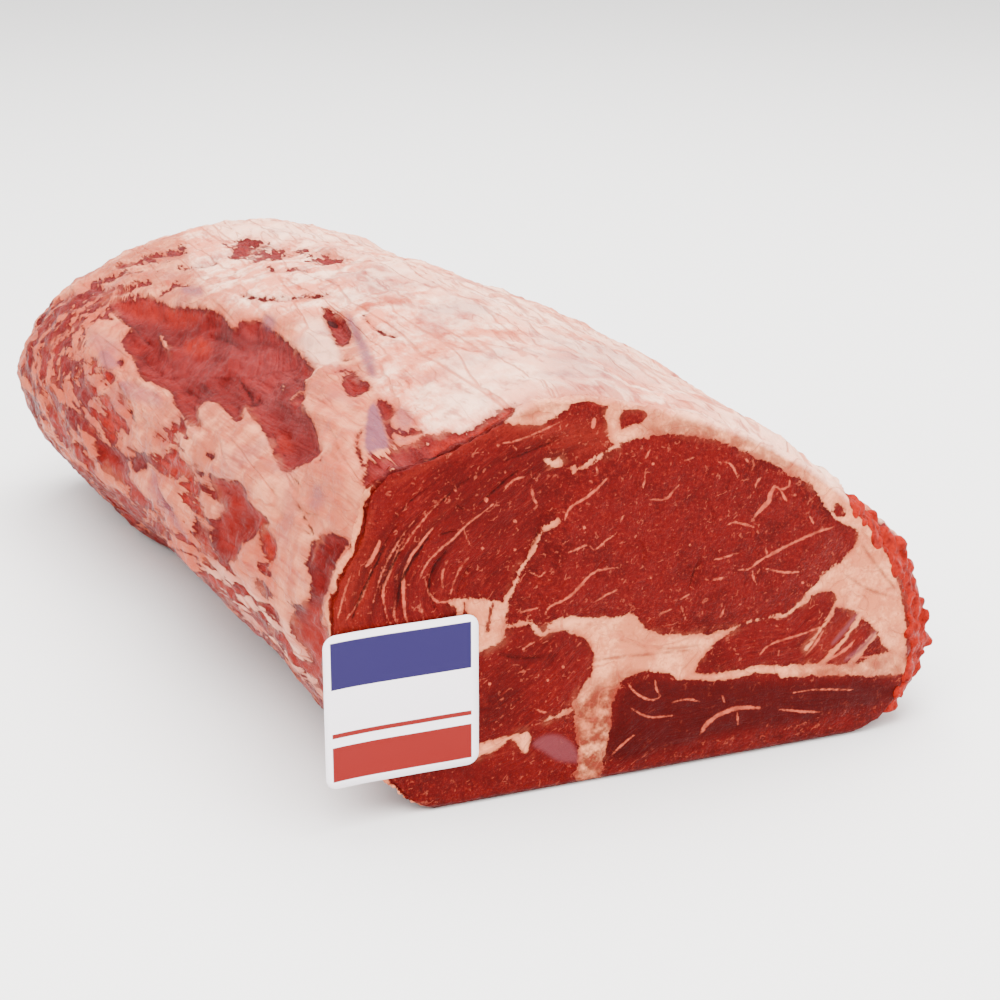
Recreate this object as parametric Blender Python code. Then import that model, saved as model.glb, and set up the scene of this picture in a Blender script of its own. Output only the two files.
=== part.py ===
"""Raw boneless beef rib roast with a paper label on its cut face.

The roast lies fat side up. Its cut face looks towards -Y and its length runs along +Y.
Sections are drawn in millimetres, x to the right and z up from the base, y behind the cut face.
"""

import math

import bmesh
import bpy
from mathutils import Vector, noise

MM = 0.001

# Driving dimensions, in millimetres
LENGTH = 392.0
CORE_HEIGHT = 58.0
RIM_ROUNDING = 1.5
COLLAR_DEPTH = 14.0
FRONT_TO_MIDDLE = 140.0
MIDDLE_TO_REAR = (170.0, 330.0)
END_ROUNDING = 58.0
END_FULLNESS = 2.4
END_SHARE = 0.74

# Cut face: the loin tapers to the right. Points under z = 0 are pressed flat by the weight.
FRONT_OUTLINE = [
    (106, 28), (104, 48), (98, 61), (85, 79), (65, 97), (43, 111), (20, 121),
    (-3, 129), (-24, 133), (-48, 129), (-68, 121), (-88, 116), (-93, 108),
    (-94, 96), (-102, 85), (-105, 68), (-102, 45), (-92, 22), (-77, 2),
    (-60, -6), (0, -6), (60, -6), (90, 0), (101, 10),
]
# Just behind the cut, where the fat cap and the rib side stand out beyond it
COLLAR_OUTLINE = [
    (121, 29), (117, 40), (113, 50), (109, 61), (100, 71), (92, 77), (84, 85),
    (77, 92), (68, 100), (57, 108), (45, 113), (20, 122), (-3, 130), (-24, 134),
    (-48, 130), (-68, 122), (-88, 117), (-95, 108), (-98, 96), (-104, 85),
    (-107, 68), (-103, 45), (-92, 22), (-77, 2), (-60, -6), (0, -6), (60, -6),
    (96, 0), (111, 8), (119, 19),
]
# Middle of the length
MIDDLE_OUTLINE = [
    (111, 40), (105, 63), (91, 83), (68, 101), (41, 115), (14, 126), (-10, 132),
    (-40, 133), (-68, 125), (-92, 112), (-108, 92), (-117, 70), (-120, 50),
    (-109, 34), (-95, 19), (-80, 2), (-60, -6), (0, -6), (65, -6), (94, 2), (107, 18),
]
# Shoulder end, before it rounds off: lower and further to the left
REAR_OUTLINE = [
    (91, 45), (85, 63), (69, 81), (50, 94), (28, 107), (0, 117), (-25, 120),
    (-60, 116), (-95, 105), (-116, 94), (-130, 77), (-135, 57), (-128, 37),
    (-115, 20), (-100, 3), (-80, -6), (0, -6), (55, -6), (82, 3), (92, 22),
]

# Bulges of the muscles on the cut face: outline (x, z), height, width of the soft edge.
# A bulge starts just outside its outline, and all die away near the rim of the face.
BULGE_START = 0.3
RIM_CALM = 0.2
EYE_MUSCLE = [
    (-9, 119), (28, 114), (60, 96), (82, 76), (69, 62), (54, 49), (22, 47), (2, 53),
    (-8, 59), (-32, 58), (-46, 61), (-42, 76), (-34, 96), (-23, 112),
]
SHOULDER_MUSCLE = [
    (-24, 130), (-47, 126), (-84, 112), (-90, 94), (-98, 78), (-66, 76), (-48, 73), (-38, 96),
]
ROUND_MUSCLE = [(-46, 58), (-24, 57), (-17, 44), (-24, 22), (-44, 20), (-46, 40)]
WEDGE_MUSCLE = [(22, 33), (44, 48), (68, 56), (83, 46), (90, 35), (72, 29), (45, 32)]
RIB_MUSCLE = [(-9, 28), (0, 34), (30, 29), (71, 25), (103, 18), (98, 4), (30, 1), (-9, 4)]
FACE_BULGES = [
    (EYE_MUSCLE, 3.2, 14.0),
    (SHOULDER_MUSCLE, 2.0, 12.0),
    (ROUND_MUSCLE, 1.8, 8.0),
    (WEDGE_MUSCLE, 1.6, 7.0),
    (RIB_MUSCLE, 2.0, 7.0),
]

# Relief of the skin: outline (distance behind the cut, angle round the core in degrees
# from +x over the top), height, width of the soft edge
SUNKEN_LEAN = [
    (302, 158), (268, 151), (205, 143), (175, 139), (140, 138), (100, 142), (67, 146),
    (39, 151), (57, 156), (110, 153), (150, 158), (183, 162), (230, 161), (268, 160),
]
FAT_SLAB = [(101, 138), (69, 139), (40, 142), (8, 148), (12, 153), (38, 150), (90, 143)]
SECOND_FAT = [(161, 160), (120, 156), (84, 157), (52, 158), (60, 165), (85, 166), (140, 169)]
THIRD_FAT = [(302, 164), (276, 158), (224, 163), (180, 162), (165, 169), (189, 175), (250, 170)]
CAP_LEAN = [(317, 127), (304, 120), (275, 113), (223, 109), (208, 116), (239, 122), (287, 126)]
SEAM_NOTCH = [(160, 130), (160, 125), (123, 126), (100, 131), (100, 135), (123, 131)]
SKIN_PATCHES = [
    (SUNKEN_LEAN, -3.6, 9.0),
    (FAT_SLAB, 2.2, 7.0),
    (SECOND_FAT, 2.6, 8.0),
    (THIRD_FAT, 2.2, 9.0),
    (CAP_LEAN, -1.6, 8.0),
    (SEAM_NOTCH, -4.0, 6.0),
]
# Raised edge of the fat cap along the top, as (distance behind the cut, angle)
CAP_RIDGE = [(345, 117), (316, 107), (241, 103), (184, 101), (120, 99)]
CAP_RIDGE_HEIGHT = 2.4
CAP_RIDGE_WIDTH = 13.0
# Shallow troughs that the ribs leave across the right side when they are cut away
RIB_COUNT = 6
RIB_FIRST = 48.0
RIB_SPACING = 56.0
RIB_WIDTH = 17.0
RIB_DEPTH = 3.0
RIB_ANGLES = (-46.0, 14.0)
RIB_FADE_ANGLE = 12.0
# Uneven surface of soft flesh
LUMP_HEIGHT = 2.2
LUMP_LENGTH = 38.0
MEAN_RADIUS = 92.0

# Label: a stiff paper square with round corners, stuck on the lower left of the cut face
LABEL_WIDTH = 52.0
LABEL_HEIGHT = 52.0
LABEL_THICKNESS = 0.6
LABEL_CORNER = 7.0
LABEL_CENTRE = (-82.0, 41.0)
LABEL_GAP = 0.3
LABEL_REST = 13.0

# Mesh fineness: points of a ring, rings of the skin and of a cut face
RING_POINTS = 72
BODY_STATIONS = 32
END_STATIONS = 9
FACE_RINGS = 10
RIM_SHARE = 0.985
CORNER_SEGMENTS = 5


def smooth(t):
    """Eased step from 0 to 1."""
    t = min(1.0, max(0.0, t))
    return t * t * (3 - 2 * t)


def edge_distance(point, outline):
    """Distance from a point to a closed outline, positive inside it."""
    px, py = point
    nearest = math.inf
    inside = False
    for (ax, ay), (bx, by) in zip(outline, outline[1:] + outline[:1]):
        run, rise = bx - ax, by - ay
        share = ((px - ax) * run + (py - ay) * rise) / (run * run + rise * rise)
        share = min(1.0, max(0.0, share))
        nearest = min(nearest, math.hypot(px - ax - share * run, py - ay - share * rise))
        if (ay > py) != (by > py) and px < ax + (py - ay) / rise * run:
            inside = not inside
    return nearest if inside else -nearest


def line_distance(point, line):
    """Distance from a point to an open line of points."""
    px, py = point
    nearest = math.inf
    for (ax, ay), (bx, by) in zip(line, line[1:]):
        run, rise = bx - ax, by - ay
        share = ((px - ax) * run + (py - ay) * rise) / (run * run + rise * rise)
        share = min(1.0, max(0.0, share))
        nearest = min(nearest, math.hypot(px - ax - share * run, py - ay - share * rise))
    return nearest


def unrolled(points):
    """Skin points given by an angle in degrees, with the angle turned to a length round the girth."""
    return [(y, math.radians(angle) * MEAN_RADIUS) for y, angle in points]


def polar(outline):
    """The outline as (angle, radius) pairs round the core, sorted by angle."""
    pairs = []
    for x, z in outline:
        rise = z - CORE_HEIGHT
        pairs.append((math.atan2(rise, x) % math.tau, math.hypot(x, rise)))
    return sorted(pairs)


def radius_at(pairs, angle):
    """Radius of a closed outline at an angle, by a cubic through its points."""
    count = len(pairs)
    following = next((i for i in range(count) if pairs[i][0] > angle), count)
    around = []
    for i in range(following - 2, following + 2):
        turn, index = divmod(i, count)
        around.append((pairs[index][0] + turn * math.tau, pairs[index][1]))
    (a0, r0), (a1, r1), (a2, r2), (a3, r3) = around
    t = (angle - a1) / (a2 - a1)
    slope1 = (r2 - r0) / (a2 - a0) * (a2 - a1)
    slope2 = (r3 - r1) / (a3 - a1) * (a2 - a1)
    return (
        (2 * t**3 - 3 * t**2 + 1) * r1 + (t**3 - 2 * t**2 + t) * slope1
        + (3 * t**2 - 2 * t**3) * r2 + (t**3 - t**2) * slope2
    )


def section_radius(sections, y, angle):
    """Radius of the smooth roast at a distance behind the cut face."""
    front, collar, middle, rear = (radius_at(pairs, angle) for pairs in sections)
    start, end = MIDDLE_TO_REAR
    radius = front + (collar - front) * smooth(y / COLLAR_DEPTH)
    radius += (middle - collar) * smooth((y - COLLAR_DEPTH) / FRONT_TO_MIDDLE)
    radius += (rear - middle) * smooth((y - start) / (end - start))
    return radius


def end_scale(y):
    """Share of a section that is left where the far end rounds off."""
    t = (y - LENGTH + END_ROUNDING) / END_ROUNDING
    if t <= 0:
        return 1.0
    return END_SHARE + (1 - END_SHARE) * max(0.0, 1 - t**END_FULLNESS) ** (1 / END_FULLNESS)


def skin_relief(y, angle):
    """Height of the skin over the smooth roast: sunken lean, fat slabs, ridge, troughs and lumps."""
    degrees = math.degrees(angle)
    place = (y, angle * MEAN_RADIUS)
    height = 0.0
    for outline, rise, edge in SKIN_PATCHES:
        height += rise * smooth(0.5 + edge_distance(place, unrolled(outline)) / edge)
    away = line_distance(place, unrolled(CAP_RIDGE))
    height += CAP_RIDGE_HEIGHT * smooth(1 - away / CAP_RIDGE_WIDTH)
    turn = (degrees + 180) % 360 - 180
    low, high = RIB_ANGLES
    across = smooth((turn - low) / RIB_FADE_ANGLE) * smooth((high - turn) / RIB_FADE_ANGLE)
    for i in range(RIB_COUNT):
        height -= RIB_DEPTH * across * smooth(1 - abs(y - RIB_FIRST - RIB_SPACING * i) / RIB_WIDTH)
    spot = Vector((math.cos(angle) * MEAN_RADIUS, y, math.sin(angle) * MEAN_RADIUS))
    height += LUMP_HEIGHT * noise.noise(spot / LUMP_LENGTH)
    return height * smooth(y / COLLAR_DEPTH)


def face_relief(x, z):
    """Height of the cut face over its plane: muscles swell, and it lies flat behind the label."""
    height = 0.0
    for outline, rise, edge in FACE_BULGES:
        height += rise * smooth(BULGE_START + edge_distance((x, z), outline) / edge)
    centre_x, centre_z = LABEL_CENTRE
    beside = max(abs(x - centre_x) - LABEL_WIDTH / 2, abs(z - centre_z) - LABEL_HEIGHT / 2)
    return height * smooth((beside - LABEL_REST) / LABEL_REST)


def skin_point(sections, y, angle):
    """A point of the roast's skin."""
    radius = (section_radius(sections, y, angle) + skin_relief(y, angle)) * end_scale(y)
    z = max(0.0, CORE_HEIGHT + radius * math.sin(angle))
    return Vector((radius * math.cos(angle), y, z)) * MM


def face_point(edge, share, y, outward):
    """A point of a ring within a cut face, from the skin point at the face's edge."""
    x = edge.x / MM * share
    z = CORE_HEIGHT + (edge.z / MM - CORE_HEIGHT) * share
    inner = smooth((1 - share) / RIM_CALM)
    return Vector((x, y + outward * face_relief(x, z) * inner, z)) * MM


def stations():
    """Distances of the skin's rings behind the cut face, closer together at both ends."""
    body_end = LENGTH - END_ROUNDING
    places = [RIM_ROUNDING, COLLAR_DEPTH / 3, COLLAR_DEPTH * 2 / 3]
    for i in range(BODY_STATIONS):
        places.append(COLLAR_DEPTH + (body_end - COLLAR_DEPTH) * i / BODY_STATIONS)
    for i in range(END_STATIONS):
        places.append(LENGTH - END_ROUNDING * (1 - math.sin(i / (END_STATIONS - 1) * math.pi / 2)))
    return places


def build_roast():
    """The roast as one closed loft: rings along its length, and rings inside each cut face."""
    outlines = (FRONT_OUTLINE, COLLAR_OUTLINE, MIDDLE_OUTLINE, REAR_OUTLINE)
    sections = [polar(outline) for outline in outlines]
    angles = [math.tau * i / RING_POINTS for i in range(RING_POINTS)]
    skin = [[skin_point(sections, y, angle) for angle in angles] for y in stations()]
    shares = [RIM_SHARE * (i + 1) / FACE_RINGS for i in range(FACE_RINGS)]
    front = [[face_point(edge, share, 0.0, -1) for edge in skin[0]] for share in shares]
    back = [[face_point(edge, share, LENGTH, 1) for edge in skin[-1]] for share in shares]
    mesh = bmesh.new()
    rings = [[mesh.verts.new(point) for point in ring] for ring in front + skin + back[::-1]]
    for near, far in zip(rings, rings[1:]):
        for i in range(RING_POINTS):
            j = (i + 1) % RING_POINTS
            mesh.faces.new((near[i], near[j], far[j], far[i]))
    for ring in (rings[0], rings[-1]):
        hub = mesh.verts.new(sum((vert.co for vert in ring), Vector()) / RING_POINTS)
        for i in range(RING_POINTS):
            mesh.faces.new((ring[i], ring[(i + 1) % RING_POINTS], hub))
    bmesh.ops.recalc_face_normals(mesh, faces=mesh.faces)
    return finished("rib_roast", mesh)


def build_label():
    """The label: a thin square with round corners, a hair in front of the cut face."""
    mesh = bmesh.new()
    bmesh.ops.create_cube(mesh, size=1.0)
    size = Vector((LABEL_WIDTH, LABEL_THICKNESS, LABEL_HEIGHT)) * MM
    bmesh.ops.scale(mesh, vec=size, verts=mesh.verts)
    corners = [e for e in mesh.edges if abs(e.verts[0].co.y - e.verts[1].co.y) > size.y / 2]
    bmesh.ops.bevel(
        mesh, geom=corners, offset=LABEL_CORNER * MM, segments=CORNER_SEGMENTS,
        profile=0.5, affect="EDGES", material=-1,
    )
    x, z = LABEL_CENTRE
    place = Vector((x, -LABEL_GAP - LABEL_THICKNESS / 2, z)) * MM
    bmesh.ops.translate(mesh, vec=place, verts=mesh.verts)
    return finished("paper_label", mesh)


def finished(name, mesh):
    """An object of the mesh, shaded smooth but for its sharp edges."""
    data = bpy.data.meshes.new(name)
    mesh.to_mesh(data)
    mesh.free()
    data.shade_smooth()
    data.set_sharp_from_angle(angle=math.radians(50))
    return bpy.data.objects.new(name, data)


def coat(obj, colour, roughness):
    """Gives the object a plain material of its own."""
    material = bpy.data.materials.new(obj.name + "_surface")
    material.use_nodes = True
    shader = material.node_tree.nodes["Principled BSDF"]
    shader.inputs["Base Color"].default_value = (*colour, 1.0)
    shader.inputs["Roughness"].default_value = roughness
    shader.inputs["Metallic"].default_value = 0.0
    obj.data.materials.append(material)


def centre_on_base(objects):
    """Moves the meshes so that the middle of the whole's base is the origin."""
    corners = [vert.co for obj in objects for vert in obj.data.vertices]
    middle = [(min(c[i] for c in corners) + max(c[i] for c in corners)) / 2 for i in (0, 1)]
    shift = Vector((-middle[0], -middle[1], 0.0))
    for obj in objects:
        for vert in obj.data.vertices:
            vert.co += shift


def main():
    """Builds the roast and its label in a collection of their own."""
    for obj in list(bpy.data.objects):
        bpy.data.objects.remove(obj)
    roast = build_roast()
    label = build_label()
    centre_on_base([roast, label])
    coat(roast, (0.42, 0.10, 0.08), 0.35)
    coat(label, (0.80, 0.81, 0.84), 0.55)
    group = bpy.data.collections.new("beef_rib_roast")
    bpy.context.scene.collection.children.link(group)
    for obj in (roast, label):
        group.objects.link(obj)


main()
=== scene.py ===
"""Raw boneless beef rib roast: the dressed roast, its crumbly lip and its paper label.

The meat's patches and lines are drawn as outlines in pixels of the photograph and land on the surface through
the photograph's camera. Sizes are in millimetres and become metres where a mesh is made.
"""

import logging
import math
from dataclasses import dataclass, field
from enum import Enum

import bmesh
import bpy
import numpy as np
from mathutils import Matrix, Vector, noise

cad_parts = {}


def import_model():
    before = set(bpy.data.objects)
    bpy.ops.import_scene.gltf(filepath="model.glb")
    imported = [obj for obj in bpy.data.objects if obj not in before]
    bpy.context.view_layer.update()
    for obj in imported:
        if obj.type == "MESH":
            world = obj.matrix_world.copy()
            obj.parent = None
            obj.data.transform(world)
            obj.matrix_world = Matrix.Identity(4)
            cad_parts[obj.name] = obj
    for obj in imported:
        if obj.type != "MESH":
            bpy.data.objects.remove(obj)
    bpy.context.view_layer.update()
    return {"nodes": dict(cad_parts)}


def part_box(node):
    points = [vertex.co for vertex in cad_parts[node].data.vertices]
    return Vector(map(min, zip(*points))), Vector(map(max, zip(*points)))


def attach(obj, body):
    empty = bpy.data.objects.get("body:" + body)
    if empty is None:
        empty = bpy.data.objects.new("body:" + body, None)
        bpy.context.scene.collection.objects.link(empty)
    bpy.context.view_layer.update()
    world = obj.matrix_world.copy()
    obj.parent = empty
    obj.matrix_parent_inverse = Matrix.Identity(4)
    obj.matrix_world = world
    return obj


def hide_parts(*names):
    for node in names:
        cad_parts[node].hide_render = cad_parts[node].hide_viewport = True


LOG = logging.getLogger("rib_roast")
MM = 0.001
PHOTO_PIXELS = 1000.0
SENSOR_WIDTH = 36.0

# A drawn line's corners one after another, each across and then down
Outline = tuple[float, ...]


# Small helpers


def linear(code: str) -> tuple[float, float, float, float]:
    """Turns an sRGB colour into the linear one that a shader takes.

    Args:
        code: the colour as six hexadecimal digits.

    Returns:
        Red, green, blue and alpha, linear.
    """
    shares = [int(code[i : i + 2], 16) / 255 for i in (0, 2, 4)]
    flat = [c / 12.92 if c <= 0.04045 else ((c + 0.055) / 1.055) ** 2.4 for c in shares]
    return flat[0], flat[1], flat[2], 1.0


def smoothstep(value: np.ndarray, low: float, high: float) -> np.ndarray:
    """Rises smoothly from 0 at low to 1 at high.

    Args:
        value: the numbers to grade.
        low: where the rise starts.
        high: where the rise ends.

    Returns:
        The graded numbers.
    """
    share = np.clip((value - low) / (high - low), 0.0, 1.0)
    return share * share * (3.0 - 2.0 * share)


def line_distance(points: np.ndarray, line: np.ndarray) -> tuple[np.ndarray, np.ndarray]:
    """Measures how far points are from an open line.

    Args:
        points: an array of points in the plane.
        line: the line's corners.

    Returns:
        The distance of each point, and how far along the line its nearest place is.
    """
    best = np.full(len(points), 1e9)
    along = np.zeros(len(points))
    done = 0.0
    for start, end in zip(line[:-1], line[1:]):
        edge = end - start
        length = float(np.linalg.norm(edge))
        share = np.clip((points - start) @ edge / max(length * length, 1e-9), 0.0, 1.0)
        away = np.linalg.norm(points - start - share[:, None] * edge, axis=1)
        closer = away < best
        best = np.where(closer, away, best)
        along = np.where(closer, done + share * length, along)
        done += length
    return best, along


def rounded(line: np.ndarray, closed: bool, rounds: int = 2) -> np.ndarray:
    """Cuts the corners of a line, so that it bends smoothly.

    Args:
        line: the line's corners.
        closed: whether its end joins its start.
        rounds: how often the corners are cut.

    Returns:
        The corners of the smoother line.
    """
    for _ in range(rounds):
        ends = np.vstack([line, line[:1]]) if closed else line
        first, second = ends[:-1], ends[1:]
        cut = np.stack([first * 0.75 + second * 0.25, first * 0.25 + second * 0.75], axis=1).reshape(-1, 2)
        line = cut if closed else np.vstack([line[:1], cut, line[-1:]])
    return line


def corners(outline: Outline) -> np.ndarray:
    """Gives a drawn line's corners as points in the plane."""
    return np.array(outline, float).reshape(-1, 2)


def outline_depth(points: np.ndarray, outline: np.ndarray) -> np.ndarray:
    """Measures how deep points lie inside a closed outline.

    Args:
        points: an array of points in the plane.
        outline: the outline's corners.

    Returns:
        The distance from the outline, above 0 inside and under 0 outside.
    """
    closed = np.vstack([outline, outline[:1]])
    inside = np.zeros(len(points), bool)
    x, y = points[:, 0], points[:, 1]
    for (x0, y0), (x1, y1) in zip(closed[:-1], closed[1:]):
        if y0 == y1:
            continue
        crossing = (y0 > y) != (y1 > y)
        inside ^= crossing & (x < (x1 - x0) * (y - y0) / (y1 - y0) + x0)
    depth = line_distance(points, closed)[0]
    return np.where(inside, depth, -depth)


# The photograph's camera


@dataclass(frozen=True)
class PhotoView:
    """The camera that took the photograph, in the roast's own frame."""

    place: tuple[float, float, float] = (-0.28781, -0.80293, 0.32769)
    pitch: float = 18.9
    heading: float = 22.1
    focal_pixels: float = 2223.0

    def turn(self) -> Matrix:
        """Gives the camera's rotation."""
        tilt = Matrix.Rotation(math.radians(90.0 - self.pitch), 3, "X")
        return Matrix.Rotation(math.radians(-self.heading), 3, "Z") @ tilt

    def axes(self) -> tuple[np.ndarray, np.ndarray, np.ndarray]:
        """Gives the camera's right, up and forward directions."""
        turn = np.array(self.turn())
        return turn[:, 0], turn[:, 1], -turn[:, 2]

    def project(self, points: np.ndarray) -> tuple[np.ndarray, np.ndarray]:
        """Finds where points stand in the photograph.

        Args:
            points: places in metres.

        Returns:
            Their pixels, and the millimetres that one pixel covers there.
        """
        right, up, forward = self.axes()
        away = points - np.array(self.place)
        depth = away @ forward
        half = PHOTO_PIXELS / 2
        across = half + self.focal_pixels * (away @ right) / depth
        down = half - self.focal_pixels * (away @ up) / depth
        return np.stack([across, down], axis=1), depth / MM / self.focal_pixels

    def facing(self, points: np.ndarray, normals: np.ndarray) -> np.ndarray:
        """Gives how squarely each point looks at the camera, 1 when head on and below 0 when turned away."""
        back = np.array(self.place) - points
        return np.sum(back * normals, axis=1) / np.linalg.norm(back, axis=1)

    def build(self) -> bpy.types.Object:
        """Sets up the scene's camera."""
        data = bpy.data.cameras.new("photo_camera")
        data.lens = SENSOR_WIDTH * self.focal_pixels / PHOTO_PIXELS
        data.sensor_width = SENSOR_WIDTH
        data.clip_start = 0.05
        data.clip_end = 20.0
        camera = bpy.data.objects.new("photo_camera", data)
        camera.matrix_world = Matrix.Translation(self.place) @ self.turn().to_4x4()
        bpy.context.scene.collection.objects.link(camera)
        bpy.context.scene.camera = camera
        return camera


# What is drawn on the meat


class Layer(Enum):
    """What a patch or a line is made of, or the painted light or shade that it lays on the meat. Each but
    LEAN is kept as an attribute of the mesh.
    """

    FAT = "fat"
    LEAN = "lean"
    MIXED = "mixed"
    FILM = "film"
    # cracks and pits: sunk, with painted shade in them
    SHADED_HOLLOW = "crack_shade"
    # brighter torn lean, and painted light and highlights
    GLOW = "torn_and_lit"
    # darker muscle, and painted shade in valleys and folds
    DEEP = "deep"
    WARM = "warm"
    BLOOM = "bloom"
    CAP = "cap"
    VEIN = "vein"
    # palest fat, and painted light on the lower band
    PALE = "pale"


@dataclass(frozen=True)
class Patch:
    """A closed area of the meat.

    Attributes:
        layer: what it is.
        outline: its corners in pixels of the photograph.
        soft: the width of its soft edge in millimetres, for layers that have one.
        strength: how strong it is.
    """

    layer: Layer
    outline: Outline
    soft: float = 3.0
    strength: float = 1.0


@dataclass(frozen=True)
class Stroke:
    """A line on the meat, such as a vein, a crack or a streak.

    Attributes:
        layer: what it is.
        line: its corners in pixels of the photograph.
        width: its width in pixels.
        strength: how strong it is.
    """

    layer: Layer
    line: Outline
    width: float
    strength: float = 1.0


def patches(
    layer: Layer, outlines: tuple[Outline, ...], soft: float = 3.0, strength: float = 1.0
) -> tuple[Patch, ...]:
    """Makes patches of one kind.

    Args:
        layer: what they are.
        outlines: their corners.
        soft: the width of their soft edge in millimetres.
        strength: how strong they are.

    Returns:
        The patches, in the same order.
    """
    return tuple(Patch(layer, outline, soft, strength) for outline in outlines)


def strokes(
    layer: Layer, width: float, lines: tuple[Outline, ...], strength: float = 1.0
) -> tuple[Stroke, ...]:
    """Makes strokes of one kind and width.

    Args:
        layer: what they are.
        width: their width in pixels.
        lines: their corners.
        strength: how strong they are.

    Returns:
        The strokes, in the same order.
    """
    return tuple(Stroke(layer, line, width, strength) for line in lines)


FACE_PATCHES = (
    # the fat between the eye muscle and the cap
    Patch(Layer.FAT, (
        612, 446, 622, 443, 645, 437, 680, 434, 717, 440, 745, 452, 775, 466, 812, 485, 823, 502, 832, 517,
        858, 531, 880, 545, 860, 505, 836, 484, 813, 468, 783, 447, 760, 431, 716, 414, 666, 396, 641, 389,
        610, 397, 604, 410, 606, 425)),
    # the large mass of fat at the right
    Patch(Layer.FAT, (
        846, 521, 858, 531, 858, 545, 840, 560, 825, 574, 812, 585, 803, 598, 822, 591, 835, 592, 832, 607,
        845, 606, 862, 616, 878, 634, 886, 650, 900, 654, 913, 677, 940, 668, 925, 600, 905, 555, 880, 530,
        864, 516)),
    # where the seams meet, and the column of fat below
    Patch(Layer.FAT, (
        548, 626, 562, 616, 580, 617, 600, 618, 617, 616, 632, 611, 644, 624, 641, 629, 670, 634, 695, 637,
        722, 631, 757, 620, 785, 614, 803, 598, 812, 590, 808, 603, 795, 610, 785, 618, 760, 619, 745, 622,
        735, 630, 720, 637, 708, 650, 700, 660, 696, 671, 688, 678, 680, 680, 665, 671, 643, 672, 633, 675,
        618, 685, 611, 705, 610, 720, 612, 730, 604, 757, 600, 785, 572, 785, 580, 760, 575, 722, 572, 707,
        580, 690, 592, 677, 595, 648, 582, 636, 565, 629, 550, 632)),
    # the seam under the wedge muscle
    Patch(Layer.FAT, (
        690, 672, 712, 674, 745, 669, 757, 665, 790, 666, 815, 663, 850, 665, 875, 655, 890, 650, 905, 655,
        913, 677, 893, 674, 870, 677, 830, 675, 785, 678, 775, 673, 750, 674, 720, 681, 685, 680, 678, 677)),
    # the ragged mass left of the eye muscle
    Patch(Layer.FAT, (
        446, 602, 458, 598, 476, 599, 505, 600, 504, 615, 505, 640, 498, 645, 480, 652, 470, 654, 464, 635,
        448, 624, 455, 618, 458, 610)),
    # a patch on the upper left edge
    *patches(Layer.FAT, (
        (503, 421, 515, 412, 530, 405, 548, 401, 566, 396, 570, 408, 552, 420, 540, 424, 520, 425, 508, 424),
        (540, 528, 545, 533, 556, 528, 560, 521, 556, 518, 548, 522),
        (540, 460, 548, 456, 552, 462, 560, 455, 564, 462, 562, 468, 554, 468),
        (545, 625, 560, 617, 578, 617, 582, 635, 565, 629, 550, 632))),
    # the strip under the round muscle
    Patch(Layer.FAT, (
        475, 745, 490, 741, 505, 736, 520, 733, 530, 731, 530, 745, 527, 755, 520, 750, 515, 738, 495, 750,
        485, 755, 475, 760)),
    # lean islands in the fat
    *patches(Layer.LEAN, (
        (620, 415, 625, 408, 645, 409, 646, 418, 640, 425, 628, 427, 620, 430),
        (832, 510, 835, 503, 842, 503, 846, 512, 842, 518, 834, 517),
        (834, 628, 843, 622, 850, 616, 859, 617, 857, 628, 852, 638, 843, 648, 835, 655, 820, 660, 810, 655,
         824, 640), (860, 640, 875, 638, 876, 642, 870, 650, 862, 648),
        (847, 665, 855, 658, 862, 660, 855, 666))),
    # orange tints and lilac films
    Patch(Layer.WARM, (640, 447, 650, 415, 700, 415, 740, 428, 790, 455, 820, 485, 800, 482), 12.0, 0.8),
    Patch(Layer.WARM, (596, 680, 650, 668, 625, 700, 618, 790, 560, 795, 566, 700), 9.0),
    Patch(Layer.WARM, (790, 682, 800, 668, 870, 652, 905, 655, 915, 680), 8.0, 0.7),
    Patch(Layer.WARM, (505, 421, 530, 403, 570, 396, 560, 410), 5.0),
    Patch(Layer.WARM, (898, 655, 917, 655, 930, 662, 913, 680, 903, 672), 6.0),
    Patch(Layer.FILM, (
        530, 745, 545, 735, 560, 735, 575, 745, 580, 762, 570, 763, 555, 760, 545, 752), 2.0, 0.8),
    # darker and brighter muscles
    Patch(Layer.DEEP, (
        604, 770, 612, 715, 620, 688, 643, 674, 690, 682, 785, 679, 909, 679, 905, 700, 800, 722,
        700, 740), 6.0),
    Patch(Layer.DEEP, (470, 745, 476, 690, 500, 655, 535, 640, 520, 700, 500, 735), 14.0, 0.5),
    Patch(Layer.DEEP, (450, 470, 500, 450, 545, 440, 520, 520, 470, 540, 430, 530), 16.0, 0.45),
    # a small pit, sunk and painted dark as its shade
    Patch(Layer.SHADED_HOLLOW, (541, 514, 548, 510, 556, 513, 552, 518, 545, 518), 2.5, 0.6),
    Patch(Layer.GLOW, (
        445, 452, 470, 436, 500, 420, 560, 424, 600, 424, 628, 430, 600, 455, 560, 447, 497, 433,
        465, 450), 8.0, 0.7),
    Patch(Layer.GLOW, (810, 655, 825, 620, 860, 612, 862, 650, 830, 665), 5.0, 0.35),
    Patch(Layer.GLOW, (322, 640, 330, 590, 360, 545, 385, 540, 372, 600, 345, 650), 10.0, 0.5),
)

# Where the torn lip reaches over the right rim of the cut
LIP_RIM = (862, 506, 880, 526, 901, 560, 911, 597, 915, 633, 910, 662)

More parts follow.
